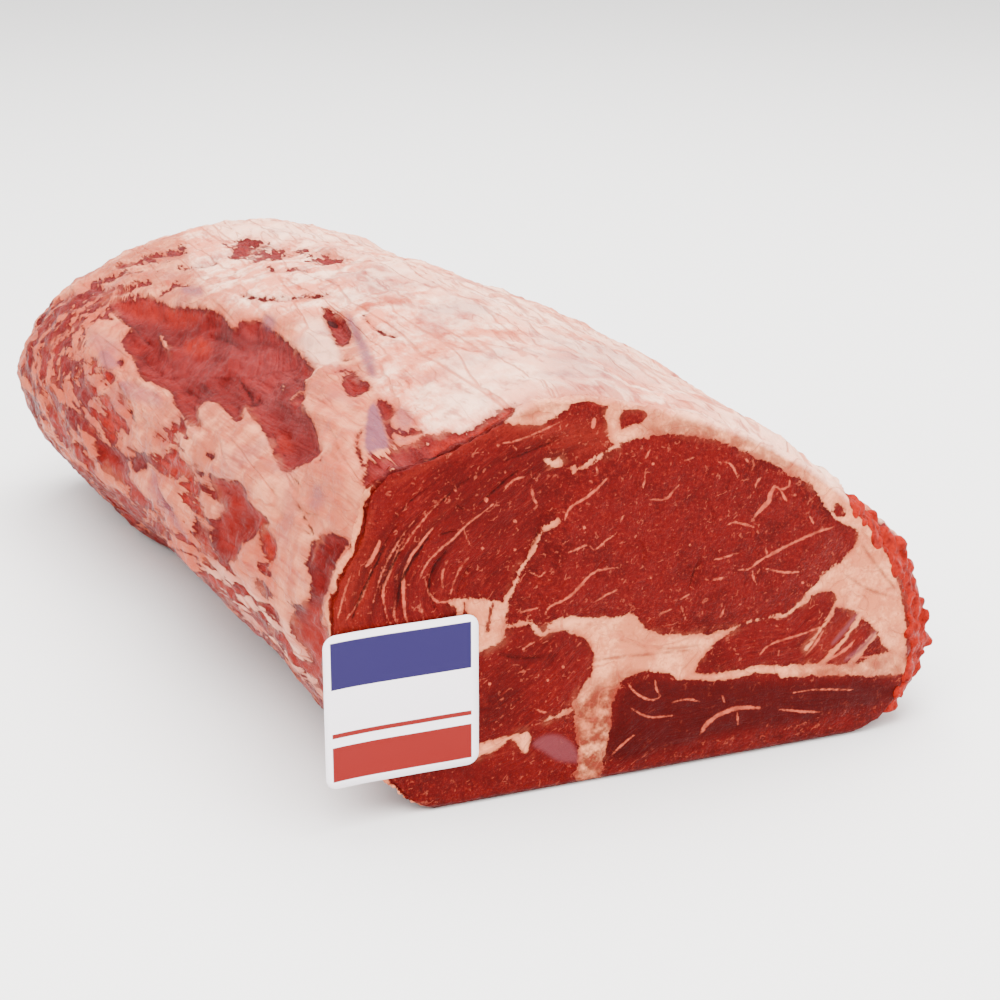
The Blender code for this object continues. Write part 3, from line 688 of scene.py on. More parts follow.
SIDE_STROKES = (
    # streaks of the left end, from its top round to its foot
    Stroke(Layer.LEAN, (58, 346, 54, 360, 50, 374, 46, 385, 44, 396, 46, 405, 51, 414), 6.0),
    Stroke(Layer.LEAN, (27, 362, 30, 380, 35, 395, 38, 408, 44, 420), 5.0),
    *strokes(Layer.LEAN, 3.0, (
        (60, 385, 66, 400, 72, 412, 76, 425, 82, 440), (64, 350, 63, 362, 60, 375))),
    *strokes(Layer.LEAN, 5.0, (
        (40, 345, 44, 330, 52, 318, 70, 309, 95, 300, 112, 301),
        (50, 345, 53, 330, 62, 320, 85, 312, 110, 312))),
    *strokes(Layer.LEAN, 4.0, (
        (34, 350, 36, 365, 40, 378), (66, 328, 80, 320, 98, 317, 112, 320))),
    Stroke(Layer.LEAN, (104, 306, 125, 300, 142, 296), 5.0),
    Stroke(Layer.LEAN, (118, 395, 122, 405, 130, 415, 137, 425), 3.4),
    Stroke(Layer.LEAN, (80, 418, 82, 430, 83, 440, 88, 455, 95, 468, 101, 482), 4.4),
    *strokes(Layer.LEAN, 3.0, (
        (62, 421, 75, 421, 82, 423), (180, 414, 184, 428, 186, 438))),
    *strokes(Layer.LEAN, 5.0, (
        (153, 478, 160, 490, 165, 505, 173, 521), (181, 482, 183, 495, 192, 508, 200, 507, 203, 517))),
    *strokes(Layer.LEAN, 4.0, (
        (122, 497, 150, 530, 185, 558, 202, 576), (140, 515, 165, 540, 195, 565, 215, 590, 232, 610),
        (170, 522, 195, 550, 215, 575, 240, 600, 262, 622),
        (200, 540, 222, 568, 245, 590, 262, 614, 272, 640), (222, 560, 238, 578, 252, 600, 258, 612))),
    Stroke(Layer.LEAN, (260, 575, 266, 592, 272, 612, 285, 640, 294, 662), 6.0),
    *strokes(Layer.LEAN, 4.0, (
        (276, 612, 284, 640, 300, 668, 314, 694), (100, 488, 122, 512, 150, 538))),
    Stroke(Layer.FAT, (148, 455, 153, 475, 158, 495, 170, 515, 186, 537), 4.4),
    Stroke(Layer.FAT, (170, 496, 177, 482, 186, 478), 6.0),
    *strokes(Layer.FAT, 4.0, (
        (176, 500, 186, 520, 200, 548, 216, 570), (150, 512, 175, 538, 205, 566, 228, 592),
        (186, 520, 208, 552, 232, 580, 250, 600, 268, 628), (236, 566, 250, 588, 264, 612, 278, 640),
        (262, 608, 276, 634, 296, 664, 318, 700), (68, 330, 72, 345, 70, 356))),
    Stroke(Layer.FAT, (54, 352, 50, 368, 49, 382), 2.0),
    Stroke(Layer.FAT, (30, 352, 33, 372, 40, 396, 48, 416), 3.0),
    Stroke(Layer.FILM, (152, 470, 158, 492, 170, 514, 186, 538), 6.0, 0.7),
    # cracks, sunk and painted dark as their shade
    Stroke(Layer.SHADED_HOLLOW, (120, 384, 122, 395, 131, 402), 2.0, 0.6),
    Stroke(Layer.SHADED_HOLLOW, (262, 600, 282, 628, 268, 612), 2.0, 0.5),
    *strokes(Layer.SHADED_HOLLOW, 4.0, (
        (110, 308, 118, 318, 135, 328, 150, 343), (254, 391, 248, 403)), 0.7),
    Stroke(Layer.SHADED_HOLLOW, (232, 372, 240, 385, 247, 395, 250, 405), 4.0, 0.75),
    Stroke(Layer.SHADED_HOLLOW, (298, 505, 303, 513, 310, 525, 313, 537, 306, 531), 3.0, 0.75),
    Stroke(Layer.SHADED_HOLLOW, (303, 513, 320, 515), 2.5, 0.6),
    Stroke(Layer.SHADED_HOLLOW, (295, 479, 304, 487), 3.5, 0.7),
    # the torn lean along the upper left edge of the cut
    Stroke(Layer.LEAN, (512, 412, 490, 424, 470, 434, 448, 445), 15.0),
    Stroke(Layer.LEAN, (460, 436, 440, 446, 420, 454, 400, 461, 384, 469, 368, 484), 25.0),
    Stroke(Layer.GLOW, (508, 412, 490, 422, 470, 431, 448, 441, 430, 448), 5.0, 0.8),
    # cracks, sunk and painted dark as their shade
    Stroke(Layer.SHADED_HOLLOW, (500, 424, 480, 434, 462, 441), 3.0, 0.7),
    Stroke(Layer.SHADED_HOLLOW, (452, 450, 430, 456, 412, 464), 3.6, 0.75),
    Stroke(Layer.SHADED_HOLLOW, (404, 474, 388, 482, 376, 492), 3.6, 0.7),
    Stroke(Layer.LEAN, (377, 406, 383, 420, 389, 436, 392, 449), 3.6),
    # red streaks of the cap, and its creases, painted darker as their shade
    Stroke(Layer.LEAN, (228, 249, 240, 246, 262, 247, 285, 251), 5.0),
    *strokes(Layer.LEAN, 4.0, (
        (232, 256, 255, 254, 280, 258, 305, 259), (250, 262, 272, 263, 300, 266, 322, 264, 340, 262))),
    *strokes(Layer.LEAN, 3.0, (
        (262, 268, 285, 270, 310, 270), (292, 253, 315, 254, 335, 257))),
    *strokes(Layer.WARM, 5.0, (
        (300, 252, 340, 262, 390, 275, 440, 282), (445, 366, 490, 380, 540, 392)), 0.8),
    *strokes(Layer.WARM, 5.0, (
        (260, 300, 290, 303, 320, 298, 345, 300), (440, 385, 480, 400, 500, 405),
        (505, 416, 540, 396, 575, 388, 612, 392)), 0.9),
    Stroke(Layer.WARM, (500, 345, 560, 362, 620, 388), 4.0, 0.7),
    *strokes(Layer.WARM, 4.0, (
        (470, 330, 540, 345, 600, 370), (600, 365, 670, 398, 740, 425)), 0.6),
    # folds that the big sunken lean lies in, sunk and painted in shade
    Stroke(Layer.SHADED_HOLLOW, (205, 330, 222, 334, 236, 344), 3.6, 0.6),
    Stroke(Layer.SHADED_HOLLOW, (264, 420, 272, 440, 284, 458), 3.6, 0.65),
    *strokes(Layer.SHADED_HOLLOW, 3.0, (
        (176, 384, 190, 392, 204, 396), (134, 348, 146, 362, 160, 372)), 0.6),
    Stroke(Layer.DEEP, (298, 372, 290, 384, 282, 398, 276, 412), 9.0, 0.7),
    Stroke(Layer.DEEP, (206, 318, 224, 326, 240, 338, 262, 336, 284, 350), 6.0, 0.7),
    # red slits at the left end
    Stroke(Layer.LEAN, (30, 336, 40, 318, 56, 304, 74, 296), 6.0),
    *strokes(Layer.LEAN, 5.0, (
        (24, 352, 28, 376, 36, 400, 46, 424), (42, 352, 42, 372, 48, 394, 56, 410),
        (62, 404, 72, 424, 80, 444, 90, 462), (76, 300, 98, 293, 122, 288))),
    *strokes(Layer.LEAN, 4.0, (
        (120, 268, 150, 258, 180, 254), (96, 282, 118, 275, 140, 272))),
    # streaks of the lower band
    Stroke(Layer.FAT, (88, 452, 104, 476, 126, 504, 150, 530), 4.0),
    Stroke(Layer.FAT, (70, 430, 84, 456, 104, 486, 128, 514), 3.6),
    Stroke(Layer.LEAN, (78, 446, 94, 472, 116, 502), 4.0),
    Stroke(Layer.FAT, (128, 508, 156, 534, 186, 560, 214, 588), 4.4),
    Stroke(Layer.LEAN, (136, 524, 162, 548, 190, 574), 4.0),
    Stroke(Layer.FAT, (196, 574, 226, 600, 258, 632, 288, 664), 5.0),
    Stroke(Layer.LEAN, (210, 580, 240, 606, 270, 640, 296, 668), 4.0),
    Stroke(Layer.FAT, (270, 636, 290, 660, 312, 688, 328, 706), 4.0),
    # cracks, sunk and painted dark as their shade
    Stroke(Layer.SHADED_HOLLOW, (340, 363, 352, 360), 3.0, 0.8),
    Stroke(Layer.SHADED_HOLLOW, (327, 460, 345, 443), 2.5, 0.45),
    *strokes(Layer.LEAN, 2.4, (
        (360, 433, 356, 440, 358, 452, 365, 470), (335, 374, 345, 371, 355, 373))),
    Stroke(Layer.LEAN, (150, 300, 168, 291, 175, 285, 188, 287), 3.0),
    Stroke(Layer.LEAN, (180, 270, 205, 267, 215, 264), 2.6),
    *strokes(Layer.LEAN, 3.0, (
        (395, 432, 415, 434, 432, 432), (397, 448, 420, 450, 440, 447))),
    Stroke(Layer.LEAN, (260, 578, 268, 605), 4.0),
    *strokes(Layer.LEAN, 1.8, (
        (240, 295, 260, 302, 300, 297, 330, 295), (365, 320, 380, 333, 395, 338))),
    Stroke(Layer.LEAN, (100, 300, 125, 290, 150, 284), 4.0),
    Stroke(Layer.LEAN, (66, 300, 70, 330, 72, 360), 5.0),
    Stroke(Layer.WARM, (355, 315, 375, 306, 400, 303, 415, 301), 8.0, 1.0),
    Stroke(Layer.WARM, (408, 275, 440, 285, 460, 295, 480, 298), 6.0, 0.9),
    Stroke(Layer.WARM, (665, 400, 700, 410, 735, 420), 6.0, 1.0),
    *strokes(Layer.WARM, 4.0, (
        (380, 348, 430, 357), (420, 338, 475, 335)), 0.7),
    Stroke(Layer.WARM, (540, 380, 560, 390), 5.0, 0.7),
    Stroke(Layer.FAT, (283, 386, 284, 391), 4.0),
    Stroke(Layer.FAT, (293, 399, 302, 391), 3.0),
    Stroke(Layer.FAT, (160, 335, 168, 350), 2.6),
    Stroke(Layer.FAT, (242, 562, 252, 540, 260, 530), 4.0),
    *strokes(Layer.FAT, 6.0, (
        (352, 540, 343, 555, 338, 565, 333, 585, 327, 600, 322, 625), (392, 471, 400, 479))),
)


@dataclass(frozen=True)
class Guide:
    """A line that the fibres of one muscle run beside.

    Attributes:
        line: its corners in pixels of the photograph.
        outline: the muscle's outline.
    """

    line: Outline
    outline: Outline


FACE_GUIDES = (
    # the fibres of the left muscle bend round its lower right corner
    Guide(
        (600, 424, 540, 440, 490, 480, 446, 520, 420, 545, 404, 580, 404, 610, 420, 650),
        (320, 640, 330, 590, 360, 550, 380, 530, 375, 480, 440, 450, 500, 420, 600, 420,
         625, 435, 575, 470, 556, 500, 540, 530, 520, 570, 503, 620, 440, 660)),
    Guide(
        (470, 735, 500, 722, 540, 690, 575, 650, 590, 640),
        (440, 780, 470, 655, 505, 632, 560, 628, 592, 640, 592, 680, 560, 715, 560, 775)),
    Guide(
        (700, 668, 740, 650, 790, 640, 830, 605),
        (692, 672, 705, 650, 735, 628, 800, 604, 830, 588, 875, 636, 860, 664, 700, 676)),
    Guide(
        (600, 770, 660, 722, 760, 702, 910, 690),
        (600, 785, 612, 710, 625, 683, 660, 672, 780, 676, 912, 676, 902, 700, 700, 745)),
)
SKIN_GUIDE = Guide(
    (78, 280, 50, 310, 26, 345, 26, 390, 45, 428, 60, 447, 80, 470, 110, 505, 148, 542,
     195, 577, 240, 615, 287, 668, 330, 715),
    (10, 250, 100, 270, 200, 300, 300, 320, 372, 380, 420, 460, 360, 560, 335, 730, 0, 500))

# The far cut, in millimetres across and up, with another layout of muscles
FAR_PATCHES = (
    *patches(Layer.LEAN, (
        (-98, 40, -107, 62, -96, 84, -74, 97, -44, 102, -16, 97, 2, 84, 7, 64, 1, 47, -14, 36, -30, 38,
         -48, 29, -76, 31),
        (10, 93, 28, 92, 50, 84, 66, 70, 79, 50, 76, 36, 60, 33, 46, 42, 30, 44, 20, 58, 15, 74),
        (-6, 29, 12, 34, 30, 31, 52, 26, 70, 25, 72, 15, 56, 7, 24, 5, -2, 7, -14, 16),
        (-98, 27, -72, 24, -46, 22, -28, 27, -20, 17, -34, 7, -62, 4, -90, 9))),
    Patch(Layer.FAT, (-66, 74, -56, 80, -46, 76, -50, 71, -60, 70)),
    Patch(Layer.FILM, (-8, 33, 20, 37, 50, 31, 30, 40, 4, 42), 2.0, 0.5),
    Patch(Layer.DEEP, (-12, 26, 30, 32, 74, 26, 70, 6, 0, 6), 6.0, 0.6),
    Patch(Layer.WARM, (-110, 36, -40, 26, 10, 40, 84, 34, 78, 6, -100, 4), 10.0, 0.5),
)
FAR_STROKES = (
    Stroke(Layer.VEIN, (-90, 72, -76, 80, -60, 82, -44, 90), 1.1),
    Stroke(Layer.VEIN, (-84, 50, -70, 60, -52, 58, -40, 64), 1.2),
    *strokes(Layer.VEIN, 0.9, (
        (-58, 40, -44, 50, -30, 46), (-46, 70, -34, 66, -24, 52), (6, 22, 26, 24, 48, 18),
        (-80, 16, -62, 18, -46, 14))),
    *strokes(Layer.VEIN, 1.0, (
        (-34, 84, -22, 74, -14, 60), (22, 84, 34, 76, 40, 64), (36, 80, 52, 68, 64, 54))),
    Stroke(Layer.FAT, (-12, 100, 4, 90, 9, 70, 8, 52, -6, 32), 4.0),
    Stroke(Layer.DEEP, (-40, 34, -20, 44, -4, 58), 12.0, 0.6),
)


# A stroke narrows to this share of its width at both ends
TAPER_END = 0.35
# The largest depth that is kept, in millimetres
REACH = 8.0
# How far on the lean side the ground lies where fat and lean mix, in millimetres
MIXED_DEPTH = 0.6


@dataclass
class Canvas:
    """Collects what patches and strokes leave on the points of one mesh.

    Attributes:
        places: the points in the plane that the outlines are drawn in.
        scale: the millimetres that one unit of that plane covers at each point.
        ground: the fat depth before anything is drawn, above 0 for fat and under 0 for lean.
        layers: what each layer holds at each point.
        grain: how far across and along a guide each point lies, and how clearly the fibres follow it.
    """

    places: np.ndarray
    scale: np.ndarray
    ground: float
    layers: dict[Layer, np.ndarray] = field(default_factory=dict)
    grain: np.ndarray | None = None

    def __post_init__(self) -> None:
        """Starts every layer empty, and the grain along no guide."""
        self.grain = np.zeros((len(self.places), 3))
        for layer in Layer:
            self.layers[layer] = np.zeros(len(self.places))
        self.layers[Layer.FAT] += self.ground
        self.layers[Layer.VEIN] -= REACH

    def near(self, drawn: np.ndarray) -> np.ndarray:
        """Picks the points that a drawn shape can reach.

        Args:
            drawn: the corners of the shape.

        Returns:
            The numbers of those points.
        """
        margin = REACH / max(float(np.min(self.scale)), 1e-6)
        low = drawn.min(axis=0) - margin
        high = drawn.max(axis=0) + margin
        return np.nonzero(np.all((self.places > low) & (self.places < high), axis=1))[0]

    def lay(self, layer: Layer, chosen: np.ndarray, depth: np.ndarray, soft: float, strength: float) -> None:
        """Lays one shape over what is there.

        Args:
            layer: what the shape is made of.
            chosen: the points that it can reach.
            depth: how deep each lies in the shape, in millimetres.
            soft: the width of the soft edge.
            strength: how strong the shape is.
        """
        fat = self.layers[Layer.FAT]
        if layer is Layer.FAT:
            fat[chosen] = np.maximum(fat[chosen], depth)
        elif layer is Layer.LEAN:
            fat[chosen] = np.minimum(fat[chosen], -depth)
        elif layer is Layer.VEIN:
            veins = self.layers[layer]
            veins[chosen] = np.maximum(veins[chosen], depth * strength)
        else:
            share = smoothstep(depth, -soft / 2, soft / 2) * strength
            kept = self.layers[layer]
            kept[chosen] = np.maximum(kept[chosen], share)
            if layer is Layer.MIXED:
                fat[chosen] = fat[chosen] * (1.0 - share) - MIXED_DEPTH * share

    def comb(self, guides: tuple[Guide, ...]) -> None:
        """Lays the grain beside guides.

        Args:
            guides: the lines that the fibres follow.
        """
        for guide in guides:
            depth = outline_depth(self.places, corners(guide.outline)) * self.scale
            inside = smoothstep(depth, -2.0, 6.0)
            away, along = line_distance(self.places, corners(guide.line))
            stronger = inside > self.grain[:, 2]
            laid = np.stack([away * self.scale, along * self.scale, inside], axis=1)
            self.grain[stronger] = laid[stronger]

    def draw(self, patches: tuple[Patch, ...], strokes: tuple[Stroke, ...]) -> None:
        """Draws patches, then strokes, in their order.

        Args:
            patches: the closed areas.
            strokes: the lines.
        """
        for patch in patches:
            outline = rounded(corners(patch.outline), True)
            chosen = self.near(outline)
            depth = outline_depth(self.places[chosen], outline) * self.scale[chosen]
            self.lay(patch.layer, chosen, depth, patch.soft, patch.strength)
        for stroke in strokes:
            line = rounded(corners(stroke.line), False)
            chosen = self.near(line)
            away, along = line_distance(self.places[chosen], line)
            length = float(np.sum(np.linalg.norm(np.diff(line, axis=0), axis=1)))
            arch = np.sqrt(np.sin(math.pi * np.clip(along / length, 0.0, 1.0)))
            taper = TAPER_END + (1.0 - TAPER_END) * arch
            depth = (stroke.width / 2 * taper - away) * self.scale[chosen]
            soft = float(stroke.width * np.mean(self.scale))
            self.lay(stroke.layer, chosen, depth, soft, stroke.strength)
        for layer in (Layer.FAT, Layer.VEIN):
            self.layers[layer] = np.clip(self.layers[layer], -REACH, REACH)


def blended(first: Canvas, second: Canvas, share: np.ndarray) -> Canvas:
    """Goes from one canvas to another.

    Args:
        first: what shows where share is 0.
        second: what shows where share is 1.
        share: the share of the second at each point.

    Returns:
        The blend.
    """
    mixed = Canvas(first.places, first.scale, 0.0)
    for layer in Layer:
        mixed.layers[layer] = first.layers[layer] * (1 - share) + second.layers[layer] * share
    mixed.grain = np.where(share[:, None] > 0.5, second.grain, first.grain)
    return mixed


# Meshes


def noise_field(points: np.ndarray, size: float, seed: float, octaves: int = 3) -> np.ndarray:
    """Reads seeded noise at points.

    Args:
        points: places in millimetres, already stretched where the pattern is.
        size: the size of the noise's lumps in millimetres.
        seed: shifts the pattern.
        octaves: how much finer detail it has.

    Returns:
        About -1 to 1 at each point.
    """
    shifted = points / size + seed
    return np.array([noise.fractal(place, 0.8, 2.0, octaves) for place in shifted.tolist()])


def mesh_points(mesh: bpy.types.Mesh) -> np.ndarray:
    """Gives the places of a mesh's vertices, in metres."""
    flat = np.zeros(len(mesh.vertices) * 3)
    mesh.vertices.foreach_get("co", flat)
    return flat.reshape(-1, 3)


def mesh_normals(mesh: bpy.types.Mesh) -> np.ndarray:
    """Gives the normals of a mesh's vertices."""
    flat = np.zeros(len(mesh.vertices) * 3)
    mesh.vertex_normals.foreach_get("vector", flat)
    return flat.reshape(-1, 3)


def set_attribute(mesh: bpy.types.Mesh, name: str, values: np.ndarray) -> None:
    """Stores one number for each vertex.

    Args:
        mesh: the mesh that keeps them.
        name: the attribute's name.
        values: the numbers.
    """
    attribute = mesh.attributes.new(name, "FLOAT", "POINT")
    attribute.data.foreach_set("value", values.astype(np.float32))


def new_object(
    name: str, bm: bmesh.types.BMesh, finish: bpy.types.Material, smooth: bool = True
) -> bpy.types.Object:
    """Makes an object of a bmesh, with its finish.

    Args:
        name: the piece's name.
        bm: its mesh, in metres, freed here.
        finish: its material.
        smooth: whether all its faces are shaded smooth.

    Returns:
        The object, in the scene.
    """
    mesh = bpy.data.meshes.new(name)
    bm.to_mesh(mesh)
    bm.free()
    if smooth:
        mesh.shade_smooth()
    mesh.materials.append(finish)
    piece = bpy.data.objects.new(name, mesh)
    bpy.context.scene.collection.objects.link(piece)
    return piece


def evened(solid: bpy.types.Object, voxel: float) -> bmesh.types.BMesh:
    """Copies a solid and gives it an even net of faces, with shapes that cross joined.

    Args:
        solid: the solid, which stays as it is.
        voxel: the size of the faces in metres.

    Returns:
        The copy.
    """
    bm = bmesh.new()
    bm.from_mesh(solid.data)
    bmesh.ops.remove_doubles(bm, verts=bm.verts, dist=1e-5)
    mesh = bpy.data.meshes.new("solid_copy")
    bm.to_mesh(mesh)
    bm.free()
    copy = bpy.data.objects.new("solid_copy", mesh)
    bpy.context.scene.collection.objects.link(copy)
    remesh = copy.modifiers.new("even_net", "REMESH")
    remesh.mode = "VOXEL"
    remesh.voxel_size = voxel
    bpy.context.view_layer.update()
    graph = bpy.context.evaluated_depsgraph_get()
    result = bpy.data.meshes.new_from_object(copy.evaluated_get(graph))
    even = bmesh.new()
    even.from_mesh(result)
    bpy.data.objects.remove(copy)
    bpy.data.meshes.remove(mesh)
    bpy.data.meshes.remove(result)
    return even


def trimmed(bm: bmesh.types.BMesh, along: float, keep_front: bool) -> None:
    """Cuts a mesh off across the roast.

    Args:
        bm: the mesh.
        along: where the cut lies, in metres.
        keep_front: whether the part nearer to the cut face stays.
    """
    bmesh.ops.bisect_plane(
        bm, geom=bm.verts[:] + bm.edges[:] + bm.faces[:], plane_co=(0.0, along, 0.0),
        plane_no=(0.0, 1.0, 0.0), clear_outer=keep_front, clear_inner=not keep_front)


def close_rims(bm: bmesh.types.BMesh) -> None:
    """Closes a mesh's open rims with flat faces, hidden inside the roast."""
    rims = [edge for edge in bm.edges if edge.is_boundary]
    for edge in rims:
        edge.smooth = False
    bmesh.ops.holes_fill(bm, edges=rims, sides=0)


def smoothed(bm: bmesh.types.BMesh, rounds: int) -> None:
    """Smooths a mesh a number of times."""
    for _ in range(rounds):
        bmesh.ops.smooth_vert(
            bm, verts=bm.verts, factor=0.5, use_axis_x=True, use_axis_y=True, use_axis_z=True)


def refined(bm: bmesh.types.BMesh, faces: list[bmesh.types.BMFace], cuts: int, rounds: int) -> None:
    """Divides some faces and smooths the facets away.

    Args:
        bm: the mesh.
        faces: the faces to divide.
        cuts: cuts across each edge.
        rounds: how often the new points are smoothed.
    """
    edges = list({edge for face in faces for edge in face.edges})
    bmesh.ops.subdivide_edges(bm, edges=edges, cuts=cuts, use_grid_fill=True)
    smoothed(bm, rounds)


# Materials

Socket = bpy.types.NodeSocket
Value = Socket | float
Colour = Socket | tuple[float, float, float, float]


def add_node(
    tree: bpy.types.NodeTree, kind: str, links: dict[str | int, object] | None = None, **settings: object
) -> bpy.types.Node:
    """Adds a shader node with its settings, values and links.

    Args:
        tree: the material's node tree.
        kind: the node's type without the ShaderNode in front.
        links: for each input, the socket to link or the value to set.
        **settings: the node's own settings.

    Returns:
        The node.
    """
    node = tree.nodes.new(f"ShaderNode{kind}")
    for name, value in settings.items():
        setattr(node, name, value)
    for key, value in (links or {}).items():
        if isinstance(value, Socket):
            tree.links.new(value, node.inputs[key])
        else:
            node.inputs[key].default_value = value
    return node


@dataclass
class Recipe:
    """Short words for the nodes of one material."""

    tree: bpy.types.NodeTree
    place: Socket | None = None

    def __post_init__(self) -> None:
        """Starts from the object's own coordinates."""
        self.place = add_node(self.tree, "TexCoord").outputs["Object"]

    def attribute(self, name: str) -> Socket:
        """Reads a number kept on the mesh."""
        return add_node(self.tree, "Attribute", attribute_name=name).outputs["Fac"]

    def math(self, kind: str, *values: Value) -> Socket:
        """Works out a sum, product or the like of its values."""
        return add_node(self.tree, "Math", dict(enumerate(values)), operation=kind).outputs[0]

    def squeezed(self, scale: tuple[float, float, float]) -> Socket:
        """Gives the coordinates squeezed along each axis, so that patterns stretch."""
        return add_node(self.tree, "Mapping", {"Vector": self.place, "Scale": scale}).outputs[0]

    def noise(self, size: float, detail: float, rough: float, vector: Socket | None = None) -> Socket:
        """Reads noise with lumps of a size in millimetres."""
        return add_node(self.tree, "TexNoise", {
            "Vector": vector or self.place, "Scale": 1.0 / (size * MM), "Detail": detail,
            "Roughness": rough}).outputs[0]

    def swing(self, value: Socket, amount: Value) -> Socket:
        """Turns noise from 0 to 1 into one that swings amount to both sides of 0."""
        return self.math("MULTIPLY", self.math("SUBTRACT", value, 0.5), self.math("MULTIPLY", amount, 2.0))

    def ramp(self, value: Value, low: float, high: float) -> Socket:
        """Rises smoothly from 0 at low to 1 at high."""
        links = {"Value": value, "From Min": low, "From Max": high}
        return add_node(self.tree, "MapRange", links, interpolation_type="SMOOTHSTEP").outputs[0]

    def colour(self, share: Value, first: Colour, second: Colour) -> Socket:
        """Goes from the first colour to the second."""
        return add_node(self.tree, "Mix", {0: share, 6: first, 7: second}, data_type="RGBA").outputs[2]

    def tint(self, colour: Colour, share: Value, strength: Value, code: str) -> Socket:
        """Lays one more colour over a colour, by a share and a strength."""
        return self.colour(self.math("MULTIPLY", share, strength), colour, linear(code))

    def cells(self, size: float, vector: Socket, feature: str) -> Socket:
        """Reads a pattern of cells of a size in millimetres."""
        links = {"Vector": vector, "Scale": 1.0 / (size * MM)}
        return add_node(self.tree, "TexVoronoi", links, feature=feature).outputs["Distance"]


@dataclass(frozen=True)
class MeatFinish:
    """Moist raw beef: red lean of packed fibres, and soft fat from peach to white.

    It gives the eye dark red muscle with fine pale threads, ragged crisp edges of fat, and a wet sheen.

    Attributes:
        ragged: how far the edges of the fat wander, in millimetres.
        bundle: the size of the fibre bundles in millimetres.
        threads: how strongly the fine marbling shows.
        run: the coordinates' squeeze along each axis, less where fibres run long.
        fold: the same squeeze for the fat's creases.
        sweep: the squeeze along a guide.
        stain: how much blood tints the fat.
        streaks: how far long streaks move the fat's edge, in millimetres.
        mottle: how strongly dark areas show in the lean.
        step: how far fat stands above the lean, and how strong the painted shadow on the lean beside it is.
        creased: how strongly the painted shade of creases shows in the fat.
        slope: how steeply the marbling rises to the right, in degrees.
        veiled: how strongly the fat thins out over the lean.
    """

    name: str
    lean: str
    lean_dark: str
    lean_bright: str
    fat: str
    fat_pale: str
    fat_warm: str
    thread: str
    film: str
    blood: str
    # the brighter red of torn lean, also laid as painted light and highlights
    torn: str = "741a10"
    bloom: str = "742a2b"
    cap: str = "dc8268"
    cap_pale: str = "fbb497"
    pale: str = "ffc6aa"
    # the painted shade in the fat's creases
    crease: str = "b4583e"
    # the near-black painted shade in cracks and pits
    crack_shade: str = "180302"
    ragged: float = 0.7
    bundle: float = 1.5
    threads: float = 0.5
    run: tuple[float, float, float] = (1.0, 1.0, 1.0)
    fold: tuple[float, float, float] = (1.0, 1.0, 1.0)
    sweep: float = 0.14
    stain: float = 0.3
    streaks: float = 1.0
    mottle: float = 0.55
    step: float = 0.3
    creased: float = 0.35
    slope: float = 35.0
    veiled: float = 0.2

    def build(self) -> bpy.types.Material:
        """Makes the material."""
        finish = bpy.data.materials.new(self.name)
        finish.use_nodes = True
        tree = finish.node_tree
        tree.nodes.clear()
        use = Recipe(tree)
        broad = self.streak(use, 4.2, 3.0)
        fine = self.streak(use, 1.1, 4.0)
        depth = self.fat_depth(use, broad, fine)
        thin = use.ramp(use.noise(11.0, 3.0, 0.5), 0.48, 0.66)
        veil = use.math("MULTIPLY", use.ramp(depth, -2.8, 0.4), thin)
        veil = use.math("MULTIPLY", veil, use.ramp(use.attribute(Layer.DEEP.value), 0.6, 0.1))
        fat = use.math("MAXIMUM", use.ramp(depth, -0.25, 0.3), use.math("MULTIPLY", veil, self.veiled))
        crease = self.crease_share(use)
        colour = use.colour(
            fat, self.lean_colour(use, broad, fine, depth), self.fat_colour(use, broad, fine, crease))
        colour = use.colour(self.thread_share(use), colour, linear(self.thread))
        colour = use.tint(colour, use.attribute(Layer.FILM.value), use.ramp(fine, 0.2, 0.42), self.film)
        # painted shade: cracks and pits darkened nearly to black
        torn = use.math("ADD", use.attribute(Layer.SHADED_HOLLOW.value), use.swing(use.noise(1.3, 3.0, 0.6), 0.5))
        colour = use.tint(colour, use.ramp(torn, 0.35, 0.8), 0.9, self.crack_shade)
        height = use.math("ADD", use.math("MULTIPLY", fine, 0.8), use.math("MULTIPLY", broad, 0.9))
        height = use.math("ADD", height, use.math("MULTIPLY", use.noise(0.6, 3.0, 0.6), 0.5))
        height = use.math("ADD", height, use.math("MULTIPLY", use.ramp(depth, -0.6, 0.8), self.step))
        height = use.math("SUBTRACT", height, use.math("MULTIPLY", use.math("MULTIPLY", crease, fat), 0.8))
        bump = add_node(tree, "Bump", {"Strength": 0.6, "Distance": 0.0011, "Height": height})
        wet = use.ramp(use.noise(5.0, 4.0, 0.65), 0.4, 0.65)
        rough = use.math("SUBTRACT", 0.55, use.math("MULTIPLY", wet, 0.25))
        shader = add_node(tree, "BsdfPrincipled", {
            "Base Color": colour,
            "Roughness": rough,
            "Normal": bump.outputs[0],
            "IOR": 1.22,
            "Specular IOR Level": 0.22,
            "Subsurface Weight": 0.08,
            "Subsurface Radius": (1.0, 0.35, 0.2),
            "Subsurface Scale": 0.002,
        })
        add_node(tree, "OutputMaterial", {"Surface": shader.outputs[0]})
        return finish

    def streak(self, use: Recipe, size: float, detail: float) -> Socket:
        """Reads noise that runs along the fibres.

        Args:
            use: the material's recipe.
            size: how far apart the streaks lie, in millimetres.
            detail: how much finer detail they have.

        Returns:
            Noise from 0 to 1.
        """
        plain = use.noise(size, detail, 0.6, use.squeezed(self.run))
        long = use.math("MULTIPLY", use.attribute("along"), self.sweep)
        guided = add_node(use.tree, "CombineXYZ", {"X": use.attribute("across"), "Y": long}).outputs[0]
        bent = use.math("MULTIPLY", use.attribute("combed"), 0.9)
        combed = use.noise(size * 0.7, detail, 0.6, guided)
        straight = use.math("MULTIPLY", plain, use.math("SUBTRACT", 1.0, bent))
        return use.math("ADD", use.math("MULTIPLY", combed, bent), straight)

